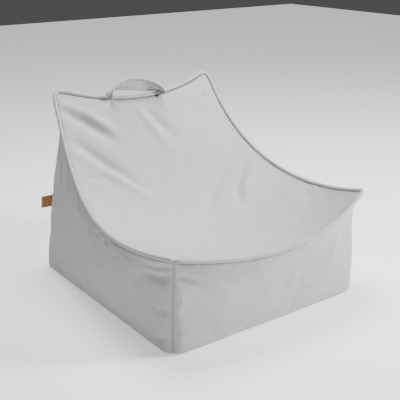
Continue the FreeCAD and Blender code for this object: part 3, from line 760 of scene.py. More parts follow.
# Folds in the cloth: panel, points along the fold as (u, v), half width, depth (hollows are
# negative), both in metres.
FOLDS = [
    ("seat", [(0.03, 0.94), (0.12, 0.925), (0.20, 0.90), (0.25, 0.88)], 0.015, -0.0065),
    ("seat", [(0.03, 0.965), (0.13, 0.95), (0.23, 0.92), (0.30, 0.89)], 0.014, 0.0040),
    ("seat", [(0.06, 0.845), (0.15, 0.80), (0.24, 0.76), (0.32, 0.70)], 0.016, -0.0070),
    ("seat", [(0.04, 0.80), (0.14, 0.755), (0.24, 0.71), (0.32, 0.66)], 0.015, 0.0045),
    ("seat", [(0.02, 0.70), (0.07, 0.71), (0.14, 0.72)], 0.006, -0.0022),
    ("seat", [(0.44, 0.985), (0.50, 0.92), (0.56, 0.83)], 0.013, 0.0036),
    ("seat", [(0.50, 0.965), (0.555, 0.92), (0.62, 0.87)], 0.014, -0.0042),
    ("seat", [(0.92, 0.73), (0.80, 0.69), (0.65, 0.62), (0.58, 0.56)], 0.015, -0.0062),
    ("seat", [(0.93, 0.76), (0.82, 0.72), (0.68, 0.66)], 0.015, 0.0030),
    ("seat", [(0.93, 0.64), (0.86, 0.62), (0.77, 0.57), (0.72, 0.50)], 0.014, -0.0055),
    ("seat", [(0.92, 0.60), (0.84, 0.58), (0.78, 0.52)], 0.014, 0.0030),
    ("seat", [(0.93, 0.95), (0.90, 0.93)], 0.012, -0.0040),
    ("seat", [(0.84, 0.93), (0.80, 0.90), (0.75, 0.88)], 0.016, -0.0030),
    ("left", [(0.27, 0.90), (0.26, 0.82)], 0.006, -0.0035),
    ("left", [(0.40, 0.94), (0.385, 0.85)], 0.006, -0.0035),
    ("left", [(0.53, 0.97), (0.52, 0.88)], 0.005, -0.0030),
    ("left", [(0.59, 0.97), (0.575, 0.88)], 0.005, -0.0030),
    ("left", [(0.66, 0.97), (0.65, 0.90)], 0.005, -0.0030),
    ("left", [(0.995, 0.84), (0.95, 0.80), (0.88, 0.82)], 0.012, -0.0036),
    ("left", [(0.985, 0.94), (0.93, 0.90), (0.87, 0.91)], 0.008, -0.0030),
    ("left", [(0.995, 0.50), (0.94, 0.44)], 0.010, -0.0022),
    ("left", [(0.98, 0.18), (0.91, 0.12)], 0.009, -0.0022),
    ("front", [(0.01, 0.86), (0.06, 0.80), (0.13, 0.76)], 0.012, -0.0036),
    ("front", [(0.03, 0.93), (0.08, 0.87), (0.13, 0.84)], 0.008, 0.0022),
    ("front", [(0.02, 0.48), (0.08, 0.46)], 0.010, -0.0020),
    ("right", [(0.30, 0.95), (0.31, 0.86)], 0.006, -0.0032),
    ("right", [(0.42, 0.95), (0.43, 0.85)], 0.006, -0.0030),
    ("right", [(0.60, 0.93), (0.61, 0.84)], 0.006, -0.0032),
    ("right", [(0.93, 0.88), (0.84, 0.74), (0.78, 0.60)], 0.015, -0.0050),
    ("right", [(0.05, 0.86), (0.13, 0.80)], 0.009, -0.0035),
    ("left", [(0.06, 0.88), (0.16, 0.74), (0.22, 0.60)], 0.015, -0.0045),
    ("rear", [(0.06, 0.90), (0.16, 0.76), (0.24, 0.62)], 0.016, -0.0050),
    ("rear", [(0.94, 0.90), (0.84, 0.77), (0.76, 0.64)], 0.016, -0.0050),
    ("rear", [(0.10, 0.95), (0.22, 0.84), (0.34, 0.76)], 0.014, -0.0032),
    ("rear", [(0.48, 0.96), (0.50, 0.80)], 0.012, -0.0028),
    ("rear", [(0.68, 0.96), (0.66, 0.84)], 0.010, -0.0030),
]


def folded(name, u, v, points):
    """Height of the folds over a panel: each is a bell across its line, fading to its ends."""
    height = np.zeros(points.shape[:2])
    free = off_seams(name, u, v) * settings("bag_shape").fold_strength
    for panel, line, half_width, depth in FOLDS:
        if panel != name:
            continue
        line = np.array(line)
        parts = np.linspace(0, len(line) - 1, 8 * len(line))
        fold_u = np.interp(parts, np.arange(len(line)), line[:, 0])
        fold_v = np.interp(parts, np.arange(len(line)), line[:, 1])
        run = PANELS[name][0](fold_u, fold_v)
        apart = np.linalg.norm(points[:, :, None] - run[None, None], axis=3)
        nearest = apart.argmin(axis=2)
        share = nearest / (len(run) - 1)
        fade = np.sin(math.pi * mix(0.12, 0.88, share)) ** 1.2
        height += depth * fade * free * np.exp(-(apart.min(axis=2) / half_width) ** 2)
    return height


def ruffles(points, amount, seed):
    """Soft unevenness: a sum of plane waves whose directions and starts are drawn from the seed."""
    draw = np.random.default_rng(seed)
    total = np.zeros(points.shape[:2])
    for wave_length in (0.16, 0.11, 0.075, 0.05, 0.034):
        for _ in range(4):
            heading = unit(draw.normal(size=3))
            start = draw.uniform(0, 2 * math.pi)
            total += wave_length * np.sin(points @ heading * 2 * math.pi / wave_length + start)
    return amount * total / 0.2


def puckers(name, u, v, seed):
    """Small gathers square to the seams: waves along each edge that die away from it."""
    draw = np.random.default_rng(seed)
    width, height = PANELS[name][1:]
    across, upward = edge_distance(name, u, v)
    total = np.zeros((len(u), len(v)))
    for run, depth in ((u[:, None] * width, upward), (v[None, :] * height, across)):
        for wave_length in (0.017, 0.026, 0.041):
            start = draw.uniform(0, 2 * math.pi)
            drift = draw.uniform(0, 2 * math.pi)
            turns = run * 2 * math.pi / wave_length
            swell = 0.5 + 0.5 * np.sin(turns / 5.3 + drift)
            total = total + swell * np.sin(turns + start) * np.exp(-depth / 0.014)
    return settings("bag_shape").pucker * total * off_seams(name, u, v)


def spline_weights(places, count):
    """Matrix that reads an evenly spaced row of values at any places from 0 to 1, along the smooth
    cubic through them."""
    x = places * (count - 1)
    first = np.clip(np.floor(x).astype(int), 0, count - 2)
    f = x - first
    cubic = (-f / 2 + f ** 2 - f ** 3 / 2, 1 - 2.5 * f ** 2 + 1.5 * f ** 3,
             f / 2 + 2 * f ** 2 - 1.5 * f ** 3, (f ** 3 - f ** 2) / 2)
    weights = np.zeros((len(places), count))
    for offset, weight in zip((-1, 0, 1, 2), cubic):
        np.add.at(weights, (np.arange(len(places)), np.clip(first + offset, 0, count - 1)), weight)
    return weights


# The rear wall stays plane round its zip: its simulated cloth is pinned up to PINNED_BELOW, and its
# folds grow from nothing at CALM_BELOW within CALM_FADE, in metres.
PINNED_BELOW = 0.12
CALM_BELOW = 0.105
CALM_FADE = 0.03


def coarse_grid(name):
    """Evenly spaced places of a panel's simulated cloth."""
    spacing = settings("bag_simulation").spacing
    width, height = PANELS[name][1:]
    return np.linspace(0, 1, int(width / spacing) + 1), np.linspace(0, 1, int(height / spacing) + 1)


def cut_cloth():
    """Start of the simulation: every panel's points, which of them are pinned, their faces and each
    panel's rows and columns. The seams and the plane foot of the rear wall are pinned."""
    starts, pins, faces, sizes = [], [], [], {}
    count = 0
    for seed, name in enumerate(PANELS):
        u, v = coarse_grid(name)
        points = panel_grid(name, u, v)
        across, upward = edge_distance(name, u, v)
        free = np.clip(across / 0.03, 0, 1) * np.clip(upward / 0.03, 0, 1)
        uneven = ruffles(points, settings("bag_simulation").ruffle, seed) * free
        lift = folded(name, u, v, points) + uneven
        held = (across < 1e-6) | (upward < 1e-6)
        if name == "rear":
            held = held | (points[..., 2] < PINNED_BELOW)
            lift = np.where(points[..., 2] < PINNED_BELOW + 0.01, 0, lift)
        starts.append((points + panel_normals(points) * lift[..., None]).reshape(-1, 3))
        pins.append(held.ravel())
        faces += (np.array(grid_faces(len(u), len(v))) + count).tolist()
        sizes[name] = (len(u), len(v))
        count += held.size
    return np.concatenate(starts), np.concatenate(pins), faces, sizes


def relaxed_cover():
    """Cloth simulation of the whole cover. Every seam is pinned, the cloth is cut a little large and
    the beads press it outwards. Returns how far each point of each panel moved, capped."""
    drape = settings("bag_simulation")
    start, pins, faces, sizes = cut_cloth()
    cloth = new_mesh("cover_simulation", start, faces)
    group = cloth.vertex_groups.new(name="seams")
    group.add(np.flatnonzero(pins).tolist(), 1.0, "REPLACE")
    modifier = cloth.modifiers.new("Cloth", "CLOTH")
    rules = modifier.settings
    rules.quality = 7
    rules.mass = 0.25
    rules.tension_stiffness = 40.0
    rules.compression_stiffness = 25.0
    rules.shear_stiffness = 12.0
    rules.bending_stiffness = 1.2
    rules.air_damping = 2.0
    rules.vertex_group_mass = "seams"
    rules.shrink_min = -drape.slack
    rules.use_pressure = True
    rules.uniform_pressure_force = drape.pressure
    rules.effector_weights.gravity = 0.0
    modifier.collision_settings.use_collision = False
    modifier.point_cache.frame_start = 1
    modifier.point_cache.frame_end = drape.frames
    scene = bpy.context.scene
    for step in range(1, drape.frames + 1):
        scene.frame_set(step)
    result = cloth.evaluated_get(bpy.context.evaluated_depsgraph_get())
    moved = np.zeros(len(start) * 3, np.float32)
    result.data.vertices.foreach_get("co", moved)
    change = moved.reshape(-1, 3) - start
    bpy.data.objects.remove(cloth)
    scene.frame_set(1)
    far = np.linalg.norm(change, axis=1, keepdims=True)
    change *= drape.cap_out * np.tanh(far / drape.cap_out) / np.maximum(far, 1e-9)
    moves, first = {}, 0
    for name, (rows, columns) in sizes.items():
        moves[name] = change[first:first + rows * columns].reshape(rows, columns, 3)
        first += rows * columns
    return moves


RELAXED = {}


def cover_points(name, u, v):
    """Final points of a panel: its place in the bag, the simulated move, and its puff, folds and
    gathers along the normal."""
    points = panel_grid(name, u, v)
    normals = panel_normals(points)
    lift = puffed(name, u, v) + folded(name, u, v, points) + puckers(name, u, v, 40 + len(name))
    if RELAXED:
        move = RELAXED[name]
        across = spline_weights(u, move.shape[0])
        upward = spline_weights(v, move.shape[1])
        points = points + np.einsum("ij,jkd,lk->ild", across, move, upward)
    if name == "rear":
        calm = np.clip((points[..., 2] - CALM_BELOW) / CALM_FADE, 0, 1)
        lift = mix(np.minimum(puffed(name, u, v), 0.0016), lift, calm)
    return points + normals * lift[..., None]


def lining(name, u, v, inset):
    """Points of a panel a little inside the cover, sunk below the cover's folds."""
    grid_u, grid_v = np.meshgrid(u, v, indexing="ij")
    if name == "base":
        return base_panel(grid_u, grid_v, inset)
    points = PANELS[name][0](grid_u, grid_v, inset)
    sink = np.minimum(folded(name, u, v, points), 0) * 1.1
    return points + panel_normals(points) * sink[..., None]


# ---------------------------------------------------------------- cover

class BEANBAG_OT_cover(bpy.types.Operator):
    """Sew the canvas cover: seat, side, front and rear panels, relaxed by a cloth simulation"""
    bl_idname = "beanbag.cover"
    bl_label = "Cover panels"

    def execute(self, context):
        RELAXED.update(relaxed_cover())
        counts = {"seat": (146, 172), "left": (150, 86), "right": (150, 86), "front": (140, 70)}
        for name, (columns, rows) in counts.items():
            u, v = crowded(columns), crowded(rows)
            points = cover_points(name, u, v)
            # The last argument is the painted shade at the seams: a dark line under the piping and
            # along the floor.
            self.sew(name, points, grid_faces(columns, rows), f"cover_{name}_panel",
                     cloth_map(points)[..., ::-1], painted_seam_shade(name, u, v))
        self.rear_wall()
        u = crowded(90, 0.6)
        points = bag(*np.meshgrid(2 * u - 1, u, indexing="ij"), 0.0)
        points[..., 2] = 0.0004
        self.sew("base", points, grid_faces(len(u), len(u), flip=True), "cover_base_panel",
                 cloth_map(points))
        return {"FINISHED"}

    def sew(self, name, points, faces, node, cloth, seam=None):
        """Make one canvas panel from its points."""
        piece = new_mesh(f"{name}_canvas", points, faces, cloth, seam)
        dress(thicken(piece, settings("bag_shape").cloth), "canvas", "root", [node])

    def rear_wall(self):
        """The rear wall above and below the zip. Each panel's edge at the zip is turned under in a
        half round hem."""
        hem = settings("bag_shape").hem
        u = crowded(130)
        every_v = np.linspace(0, 1, 4001)
        heights = bag(0.0, 1.0, every_v)[:, 2]
        low_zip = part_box("cover_rear_panel_lower")[1].z - 0.0002 - hem
        high_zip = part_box("cover_rear_panel_upper")[0].z + 0.0002 + hem
        low_v, high_v = np.interp([low_zip, high_zip], heights, every_v)
        lower = self.levelled(cover_points("rear", u, mix(0.0, low_v, crowded(30))), -1, low_zip)
        upper = self.levelled(cover_points("rear", u, mix(high_v, 1.0, crowded(84))), 0, high_zip)
        for name, points in (("lower", self.hemmed(lower, -1)), ("upper", self.hemmed(upper, 0))):
            self.sew(f"rear_{name}", points, grid_faces(*points.shape[:2]),
                     f"cover_rear_panel_{name}", cloth_map(points)[..., ::-1])

    def levelled(self, points, edge, height):
        """The rear wall's points with the rows next to the zip brought level: a shift that fades as
        a bell of the height above or below the zip."""
        z = points[..., 2]
        away = z[len(z) // 2] - height if edge == 0 else z[:, -1:] - z
        points[..., 2] = z + (height - z[:, edge, None]) * np.exp(-(away / 0.03) ** 2)
        return points

    def hemmed(self, points, edge):
        """Add a half round turn to the rows at the zip, then a short run back inside."""
        hem = settings("bag_shape").hem
        side, beside = (points[:, 0], points[:, 3]) if edge == 0 else (points[:, -1], points[:, -4])
        outward_run = unit(side - beside)
        turn = np.linspace(0, math.pi, 7)[1:]
        rows = [side + outward_run * hem * math.sin(t) - REAR * hem * 0.5 * (1 - math.cos(t))
                for t in turn]
        rows.append(rows[-1] - outward_run * 0.006)
        extra = np.stack(rows, axis=1)
        parts = [extra[:, ::-1], points] if edge == 0 else [points, extra]
        return np.concatenate(parts, axis=1)


# ---------------------------------------------------------------- piping and welts

def seat_normal(a, b):
    """Upward normal of the seat at its edge, from small steps inside it."""
    step = 0.01
    inner_a = np.clip(a, -1 + step, 1 - step)
    inner_b = np.clip(b, step, 1 - step)
    across = bag(inner_a + step, inner_b, 1.0) - bag(inner_a - step, inner_b, 1.0)
    along = bag(inner_a, inner_b + step, 1.0) - bag(inner_a, inner_b - step, 1.0)
    return unit(np.cross(across, along))


def piping_path(a, b):
    """Line of the piping along seam places (a, b): out from the seam, halfway between the seat's
    normal and the level direction away from the bag."""
    seam = bag(a, b, 1.0)
    tangent = directions(seam)
    outward = unit(np.cross(tangent, UP) * np.array([1.0, 1.0, 0.0]))
    away = unit(seat_normal(a, b) + outward)
    return seam + away * settings("bag_trim").piping_reach


def surround_line():
    """Seam places from the right nose over both ears to the left nose."""
    side = np.linspace(0, 1, 200)
    rear = np.linspace(1, -1, 160)[1:-1]
    a = np.concatenate([np.ones(200), rear, -np.ones(200)])
    b = np.concatenate([side, np.ones(158), side[::-1]])
    return a, b


def front_line():
    """Seam places along the front."""
    a = np.linspace(-1, 1, 180)
    return a, np.zeros(180)


class BEANBAG_OT_piping(bpy.types.Operator):
    """Run the bias-cut piping and its filler cord round the seat panel"""
    bl_idname = "beanbag.piping"
    bl_label = "Piping"

    def execute(self, context):
        for name, (a, b) in (("surround", surround_line()), ("front", front_line())):
            self.lay(name, a, b)
        return {"FINISHED"}

    def lay(self, name, a, b):
        """One piping. Its ends narrow and sink by the root of their distance from the end, and its
        radius wavers by two slow sine waves."""
        trim = settings("bag_trim")
        path = smoothed(evenly(piping_path(a, b), trim.piping_step), 6)
        along = np.arange(len(path)) * trim.piping_step
        from_end = np.minimum(along, along[::-1])
        full = np.clip(from_end / trim.piping_taper, 0, 1) ** 0.5
        path = path - (1 - full)[:, None] * UP * 0.004
        wobble = 1 + 0.018 * np.sin(along / 0.0071) + 0.016 * np.sin(along / 0.0187 + 1.0)
        tube(f"{name}_piping", path, trim.piping * mix(0.62, 1.0, full) * wobble, 20, "piping",
             "root", [f"{name}_piping_casing"])
        tube(f"{name}_filler_cord", path[3:-3], trim.piping_cord * mix(0.5, 1.0, full[3:-3]), 12,
             "cord", "root", [f"{name}_piping_cord"])


class BEANBAG_OT_welts(bpy.types.Operator):
    """Lay the thin welts in the upright seams and round the base"""
    bl_idname = "beanbag.welts"
    bl_label = "Welts"

    def execute(self, context):
        trim = settings("bag_trim")
        up = np.linspace(0.012, 0.985, 120)
        corners = {"front_left": (-1.0, 0.0), "front_right": (1.0, 0.0),
                   "rear_left": (-1.0, 1.0), "rear_right": (1.0, 1.0)}
        for name, (a, b) in corners.items():
            path = bag(a, b, up)
            outward = np.array([a, 2 * b - 1, 0.0]) / math.sqrt(2)
            tube(f"{name}_welt", evenly(path + outward * 0.0006, 0.003), trim.welt, 10,
                 "piping", "root")
        around = np.linspace(0, 1, 160, endpoint=False)
        sides = [(2 * around - 1, 0 * around), (0 * around + 1, around),
                 (1 - 2 * around, 0 * around + 1), (0 * around - 1, 1 - around)]
        ring = np.concatenate([bag(a, b, 0.0) for a, b in sides])
        ring[:, 2] = trim.welt
        tube("base_welt", ring, trim.welt, 8, "piping", "root", closed=True)
        return {"FINISHED"}


# ---------------------------------------------------------------- carry handle

def joint_named(name):
    return next(item for item in frame["joints"] if item["name"] == name)


def handle_frames(count):
    """Centre line of the strap with its width and thickness directions. The line is half an ellipse
    that stands on the piping, and its ends run down into the seam."""
    trim = settings("bag_trim")
    u = np.linspace(0, 1, count)
    ear = settings("bag_shape").ear[0]
    feet = []
    for way in (-1, 1):
        x = trim.handle_centre + way * trim.handle_span / 2
        a = np.array([x / ear - 0.002, x / ear, x / ear + 0.002])
        seam = piping_path(a, np.ones(3))[1]
        feet.append(seam + UP * (trim.piping + 0.0010))
    angle = math.pi * u
    arch = np.sin(angle) + trim.handle_lean * np.sin(2 * angle)
    centre = mix(feet[0], feet[1], ((1 - np.cos(angle)) / 2)[:, None])
    centre = centre + UP * (trim.handle_rise * arch)[:, None]
    along = directions(centre)
    below = np.clip(1 - u / 0.03, 0, 1) + np.clip(1 - (1 - u) / 0.03, 0, 1)
    outward = unit(np.stack([-along[:, 2], 0 * u, along[:, 0]], axis=1))
    tilt = trim.handle_tilt * np.sin(angle) ** 1.5
    across = outward * np.sin(tilt)[:, None] - REAR * np.cos(tilt)[:, None]
    through = np.cross(along, across)
    centre = centre - UP * (below * 0.006)[:, None]
    return centre, across, through


def strap_part(name, profile, thickness, finish_key, node):
    """Sweep a cross-section along the strap: profile points are (across, through) in metres. Slight
    cross creases ride on it. A part with no thickness of its own is a closed box."""
    count = 120
    centre, across, through = handle_frames(count)
    u = np.linspace(0, 1, count)
    crease = 0.00035 * (np.sin(u * 61) + 0.7 * np.sin(u * 97 + 1.1) + 0.5 * np.sin(u * 143))
    fade = np.sin(math.pi * u) ** 0.5
    w = profile[:, 0][None, :]
    t = (crease * fade)[:, None] * (1 - (w / 0.024) ** 2) - profile[:, 1][None, :]
    points = centre[:, None] + w[..., None] * across[:, None] + t[..., None] * through[:, None]
    faces = grid_faces(count, len(profile), False, not thickness)
    piece = new_mesh(name, points, faces, cloth_map(points))
    if thickness:
        thicken(piece, thickness)
    return dress(piece, finish_key, None, [node])


def strap_profiles():
    """Cross-sections of the strap. The outer canvas runs from one hem round its rolled edge, over
    the webbing and round the other edge; the inner canvas is flat; the webbing is a box."""
    trim = settings("bag_trim")
    half, hem, roll = trim.handle_width / 2, trim.handle_hem, trim.handle_roll
    core = trim.webbing / 2
    turn = np.linspace(0, math.pi, 9)
    edge = np.stack([half - roll + roll * np.sin(turn), -roll * np.cos(turn)], axis=1)
    hem_line = np.array([[half - hem, -core - 0.0011], [half - hem + 0.0015, -roll]])
    flat = np.stack([np.linspace(half - roll - 0.002, -(half - roll - 0.002), 15),
                     np.full(15, core + 0.0009)], axis=1)
    mirror = np.array([-1.0, 1.0])
    outer = np.concatenate([hem_line, edge, flat, edge[::-1] * mirror, hem_line[::-1] * mirror])
    inner_half = half - hem + 0.001
    inner = np.stack([np.linspace(-inner_half, inner_half, 15), np.full(15, -core - 0.0002)], axis=1)
    w = half - roll - 0.0012
    box = np.array([[-w, core], [0, core], [w, core], [w, -core], [0, -core], [-w, -core]])
    return outer, inner, box


class BEANBAG_OT_handle(bpy.types.Operator):
    """Fold and stitch the carry handle"""
    bl_idname = "beanbag.handle"
    bl_label = "Carry handle"

    def execute(self, context):
        trim = settings("bag_trim")
        outer, inner, box = strap_profiles()
        parts = [strap_part("handle_outer_canvas", outer, trim.handle_ply, "strap",
                            "handle_top_face"),
                 strap_part("handle_inner_canvas", inner, trim.handle_ply * 0.8, "strap",
                            "handle_under_face"),
                 strap_part("handle_core_webbing", box, 0, "web", "handle_webbing")]
        centre, across, through = (rows[6:-6] for rows in handle_frames(160))
        beside = trim.handle_width / 2 - trim.handle_hem + 0.0016
        for name, way in (("rear", -1), ("front", 1)):
            line = centre + across * way * beside + through * (trim.handle_roll + 0.0006)
            parts.append(stitches(f"handle_{name}_stitches", line, through, trim.stitch, None))
        for piece in parts:
            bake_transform(piece)
        return {"FINISHED"}


# ---------------------------------------------------------------- tag and care label

def hinge_of(name):
    """Place and upward direction of a flap's hinge."""
    joint = joint_named(name)
    return np.array(joint["pos_m"]), unit(np.array(joint["axis"]))


def flap(node, joint, way, ply, gap, inset, curl, rows):
    """Folded flap in an upright seam. Its section is a hairpin: out along one ply, a half round at
    the fold and back along the other ply, with a slight curl towards the rear."""
    low, high = (np.array(corner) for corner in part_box(node))
    hinge, axis = hinge_of(joint)
    reach = abs((high if way > 0 else low)[0] - hinge[0])
    half = ply + gap / 2
    run = np.linspace(-inset, reach - half, 26)
    turn = np.linspace(-math.pi / 2, math.pi / 2, 9)[1:-1]
    section = np.concatenate([
        np.stack([run, np.full(26, -half)], axis=1),
        np.stack([reach - half + half * np.cos(turn), half * np.sin(turn)], axis=1),
        np.stack([run[::-1], np.full(26, half)], axis=1)])
    section[:, 1] += curl * (np.clip(section[:, 0], 0, None) / reach) ** 2
    tall = high[2] - low[2]
    rise = np.concatenate([[0.0, 0.0004], np.linspace(0.0012, tall - 0.0012, rows),
                           [tall - 0.0004, tall]]) - tall / 2
    return (hinge + rise[None, :, None] * axis + section[:, None, :1] * RIGHT * way
            + section[:, None, 1:] * REAR)


class BEANBAG_OT_tag(bpy.types.Operator):
    """Fold the leather tag into the left rear seam"""
    bl_idname = "beanbag.tag"
    bl_label = "Leather tag"

    def execute(self, context):
        trim = settings("bag_trim")
        points = flap("leather_tag", "tag_flap", -1.0, trim.tag_ply, 0.0002, 0.020, 0.0012, 10)
        points = points + RIGHT * trim.tag_inset - REAR * 0.003
        piece = new_mesh("leather_tag_fold", points, grid_faces(*points.shape[:2]), cloth_map(points))
        dress(thicken(piece, trim.tag_ply), "leather", None, ["leather_tag"])
        edge = piece.modifiers.new("Edges", "BEVEL")
        edge.width = 0.0003
        edge.segments = 2
        edge.angle_limit = math.radians(50)
        hinge, axis = hinge_of("tag_flap")
        line = hinge + np.linspace(-0.013, 0.013, 12)[:, None] * axis - RIGHT * 0.0045 - REAR * 0.0016
        for part in (piece, stitches("tag_stitches", line, -REAR, 0.003, None)):
            hinge - RIGHT * trim.flap_bend
            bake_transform(part)
        return {"FINISHED"}


class BEANBAG_OT_care_label(bpy.types.Operator):
    """Fold the satin care label into the right rear seam"""
    bl_idname = "beanbag.care_label"
    bl_label = "Care label"

    def execute(self, context):
        trim = settings("bag_trim")
        inset = 0.008
        points = flap("care_label", "care_label_flap", 1.0, trim.label_ply, 0.0006, inset, 0.0030, 14)
        piece = new_mesh("care_label_fold", points, grid_faces(*points.shape[:2], flip=True),
                         cloth_map(points))
        dress(thicken(piece, trim.label_ply), "satin", None, ["care_label"])
        hinge = hinge_of("care_label_flap")[0]
        hinge + RIGHT * trim.flap_bend
        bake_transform(piece)
        wide = 2 * (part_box("care_label")[1].x - hinge[0] + inset)
        return {"FINISHED"}


# ---------------------------------------------------------------- zips

COIL_PITCH = 0.0020


def coil(name, node):
    """One row of zip teeth: a coil whose loops lie in the zip's plane. The line is a helix squashed
    to the row's height and depth, with about one loop to every pitch."""
    low, high = (np.array(corner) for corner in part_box(node))
    wire = settings("bag_trim").coil_wire
    loops = int((high[0] - low[0]) / COIL_PITCH)
    angle = np.linspace(0, 2 * math.pi * loops, loops * 10 + 1)
    centre = (low + high) / 2
    path = np.stack([low[0] + wire + angle / (2 * math.pi) * (high[0] - low[0] - 2 * wire) / loops,
                     centre[1] + (0.0011 - wire) * np.cos(angle),
                     centre[2] + (0.0012 - wire) * np.sin(angle)], axis=1)
    tube(name, path, wire, 5, "coil", "root", [node])


class BEANBAG_OT_zips(bpy.types.Operator):
    """Coil the teeth of both zips and finish their tapes, stops, sliders and pull"""
    bl_idname = "beanbag.zips"
    bl_label = "Zips"

    def execute(self, context):
        for bag_name in ("cover", "liner"):
            for row in ("upper", "lower"):
                coil(f"{bag_name}_zip_coil_{row}", f"{bag_name}_zip_teeth_{row}")
        finishes = {"tape": "tape", "stop": "metal", "slider": "metal", "pull": "metal"}
        for name, node in frame["nodes"].items():
            for word, key in finishes.items():
                if "_zip_" in name and word in name:
                    node.data.materials.clear()
                    node.data.materials.append(finish(key))
        self.topstitch()
        return {"FINISHED"}

    def topstitch(self):
        """Two rows of stitches hold the canvas folds to the tapes."""
        a = np.linspace(-0.93, 0.93, 60)
        openings = {"lower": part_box("cover_rear_panel_lower")[1].z - 0.0062,
                    "upper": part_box("cover_rear_panel_upper")[0].z + 0.0062}
        for name, height in openings.items():
            c = height / bag(0.0, 1.0, 1.0)[2]
            line = bag(a, 1.0, c) + REAR * 0.0019
            line[:, 2] = height
            stitches(f"zip_{name}_topstitch", line, REAR, 0.0036, "root")


# ---------------------------------------------------------------- liner and beads

class BEANBAG_OT_liner(bpy.types.Operator):
    """Sew the inner bag"""
    bl_idname = "beanbag.liner"
    bl_label = "Inner liner"

    def execute(self, context):
        shape = settings("bag_shape")
        whole = (0.0, 1.0)
        top = bag(0.0, 1.0, 1.0, shape.lining_inset)[2]
        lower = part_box("liner_rear_panel_lower")[1].z / top
        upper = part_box("liner_rear_panel_upper")[0].z / top
        parts = [("seat", "seat", 72, 84, whole), ("left", "left", 60, 40, whole),
                 ("right", "right", 60, 40, whole), ("front", "front", 60, 36, whole),
                 ("rear_lower", "rear", 60, 16, (0.0, lower)),
                 ("rear_upper", "rear", 60, 44, (upper, 1.0)),
                 ("base", "base", 40, 40, whole)]
        nodes = {"rear_lower": "liner_rear_panel_lower", "rear_upper": "liner_rear_panel_upper"}
        for name, place, columns, rows, span in parts:
            u = np.linspace(0, 1, columns)
            v = np.linspace(*span, rows)
            points = lining(place, u, v, shape.lining_inset)
            piece = new_mesh(f"liner_{name}_cloth", points, grid_faces(columns, rows),
                             cloth_map(points))
            dress(thicken(piece, shape.lining_cloth), "liner", "root",
                  [nodes.get(name, f"liner_{name}_panel")])
        return {"FINISHED"}


class BEANBAG_OT_beads(bpy.types.Operator):
    """Heap the beads inside the liner"""
    bl_idname = "beanbag.beads"
    bl_label = "Bead fill"

    def execute(self, context):
        count = 84
        t = np.linspace(0, 1, count)
        inset = settings("bag_shape").lining_inset + 0.004
        points = [lining(name, t, t, inset) for name in list(PANELS) + ["base"]]
        starts = np.arange(len(points))[:, None, None] * count * count
        faces = (np.array(grid_faces(count, count)) + starts).reshape(-1, 4).tolist()
        piece = new_mesh("bead_heap", np.stack(points), faces)
        merge(piece, 1e-5)
        dress(piece, "beads", "root", ["bead_fill"])
        return {"FINISHED"}


# ---------------------------------------------------------------- stage

def aimed(obj, spot, target):
    """Put a lamp or a camera at a spot and turn it to a target."""
    obj.location = spot
    back = Vector(spot) - Vector(target)
    obj.rotation_euler = back.to_track_quat("Z", "Y").to_euler()
    bpy.context.scene.collection.objects.link(obj)
    return obj


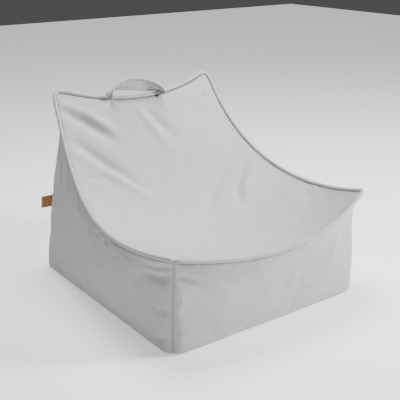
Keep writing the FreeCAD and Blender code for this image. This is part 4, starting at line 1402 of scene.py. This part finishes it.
class BEANBAG_OT_stage(bpy.types.Operator):
    """Set the studio: floor, soft lights, surroundings and camera"""
    bl_idname = "beanbag.stage"
    bl_label = "Studio"

    def execute(self, context):
        stage = settings("bag_stage")
        self.floor()
        self.lamp("key_light", stage.key, (1.9, -1.5, 1.6), 0.7)
        self.lamp("top_light", stage.fill, (0.1, 0.4, 2.3), 1.2)
        world = bpy.data.worlds.new("studio_world")
        world.use_nodes = True
        world.node_tree.nodes["Background"].inputs["Color"].default_value = (1, 1, 1, 1)
        world.node_tree.nodes["Background"].inputs["Strength"].default_value = stage.world
        context.scene.world = world
        data = bpy.data.cameras.new("studio_camera")
        data.lens = stage.lens
        level = math.cos(stage.elevation)
        back = np.array([math.sin(stage.azimuth) * level, -math.cos(stage.azimuth) * level,
                         math.sin(stage.elevation)])
        spot = np.array(stage.target) + back * stage.distance
        context.scene.camera = aimed(bpy.data.objects.new("studio_camera", data), spot, stage.target)
        return {"FINISHED"}

    def lamp(self, name, watts, spot, size):
        light = bpy.data.lights.new(name, "AREA")
        light.energy = watts
        light.shape = "DISK"
        light.size = size
        aimed(bpy.data.objects.new(name, light), spot, (0.0, 0.0, 0.2))

    def floor(self):
        """Flat floor, six metres out each way, with a faint dust tint and an even glow."""
        half = 6.0
        corners = np.array([[[-half, -half, 0], [-half, half, 0]], [[half, -half, 0], [half, half, 0]]])
        floor = new_mesh("studio_floor", corners, grid_faces(2, 2))
        paint = Finish("studio_floor", 0.6, Specular_IOR_Level=0.2)
        spot = paint.object_place()
        dust = paint.noise(spot, 9.0, 3.0)
        paint.tint(dust, settings("bag_colours").floor, 0.995, 1.005)
        paint.shader.inputs["Emission Color"].default_value = (1.0, 1.0, 1.0, 1.0)
        paint.shader.inputs["Emission Strength"].default_value = settings("bag_stage").glow
        floor.data.materials.append(paint.material)


# ---------------------------------------------------------------- add-on

OPERATORS = (BEANBAG_OT_stage, BEANBAG_OT_cover, BEANBAG_OT_piping, BEANBAG_OT_welts,
             BEANBAG_OT_handle, BEANBAG_OT_tag, BEANBAG_OT_care_label, BEANBAG_OT_zips,
             BEANBAG_OT_liner, BEANBAG_OT_beads)


class BEANBAG_PT_panel(bpy.types.Panel):
    """Lists the bean bag's pieces"""
    bl_idname = "BEANBAG_PT_panel"
    bl_label = "Bean Bag"
    bl_space_type = "VIEW_3D"
    bl_region_type = "UI"
    bl_category = "Bean Bag"

    def draw(self, context):
        for operator in OPERATORS:
            self.layout.operator(operator.bl_idname)


def register():
    for group in SETTINGS.values():
        bpy.utils.register_class(group)
    for name, group in SETTINGS.items():
        setattr(bpy.types.Scene, name, PointerProperty(type=group))
    for item in OPERATORS + (BEANBAG_PT_panel,):
        bpy.utils.register_class(item)


def unregister():
    for item in OPERATORS + (BEANBAG_PT_panel,):
        bpy.utils.unregister_class(item)
    for name, group in SETTINGS.items():
        delattr(bpy.types.Scene, name)
        bpy.utils.unregister_class(group)


def main():
    register()
    for operator in OPERATORS:
        category, name = operator.bl_idname.split(".")
        getattr(getattr(bpy.ops, category), name)()


if __name__ == "__main__":
    main()
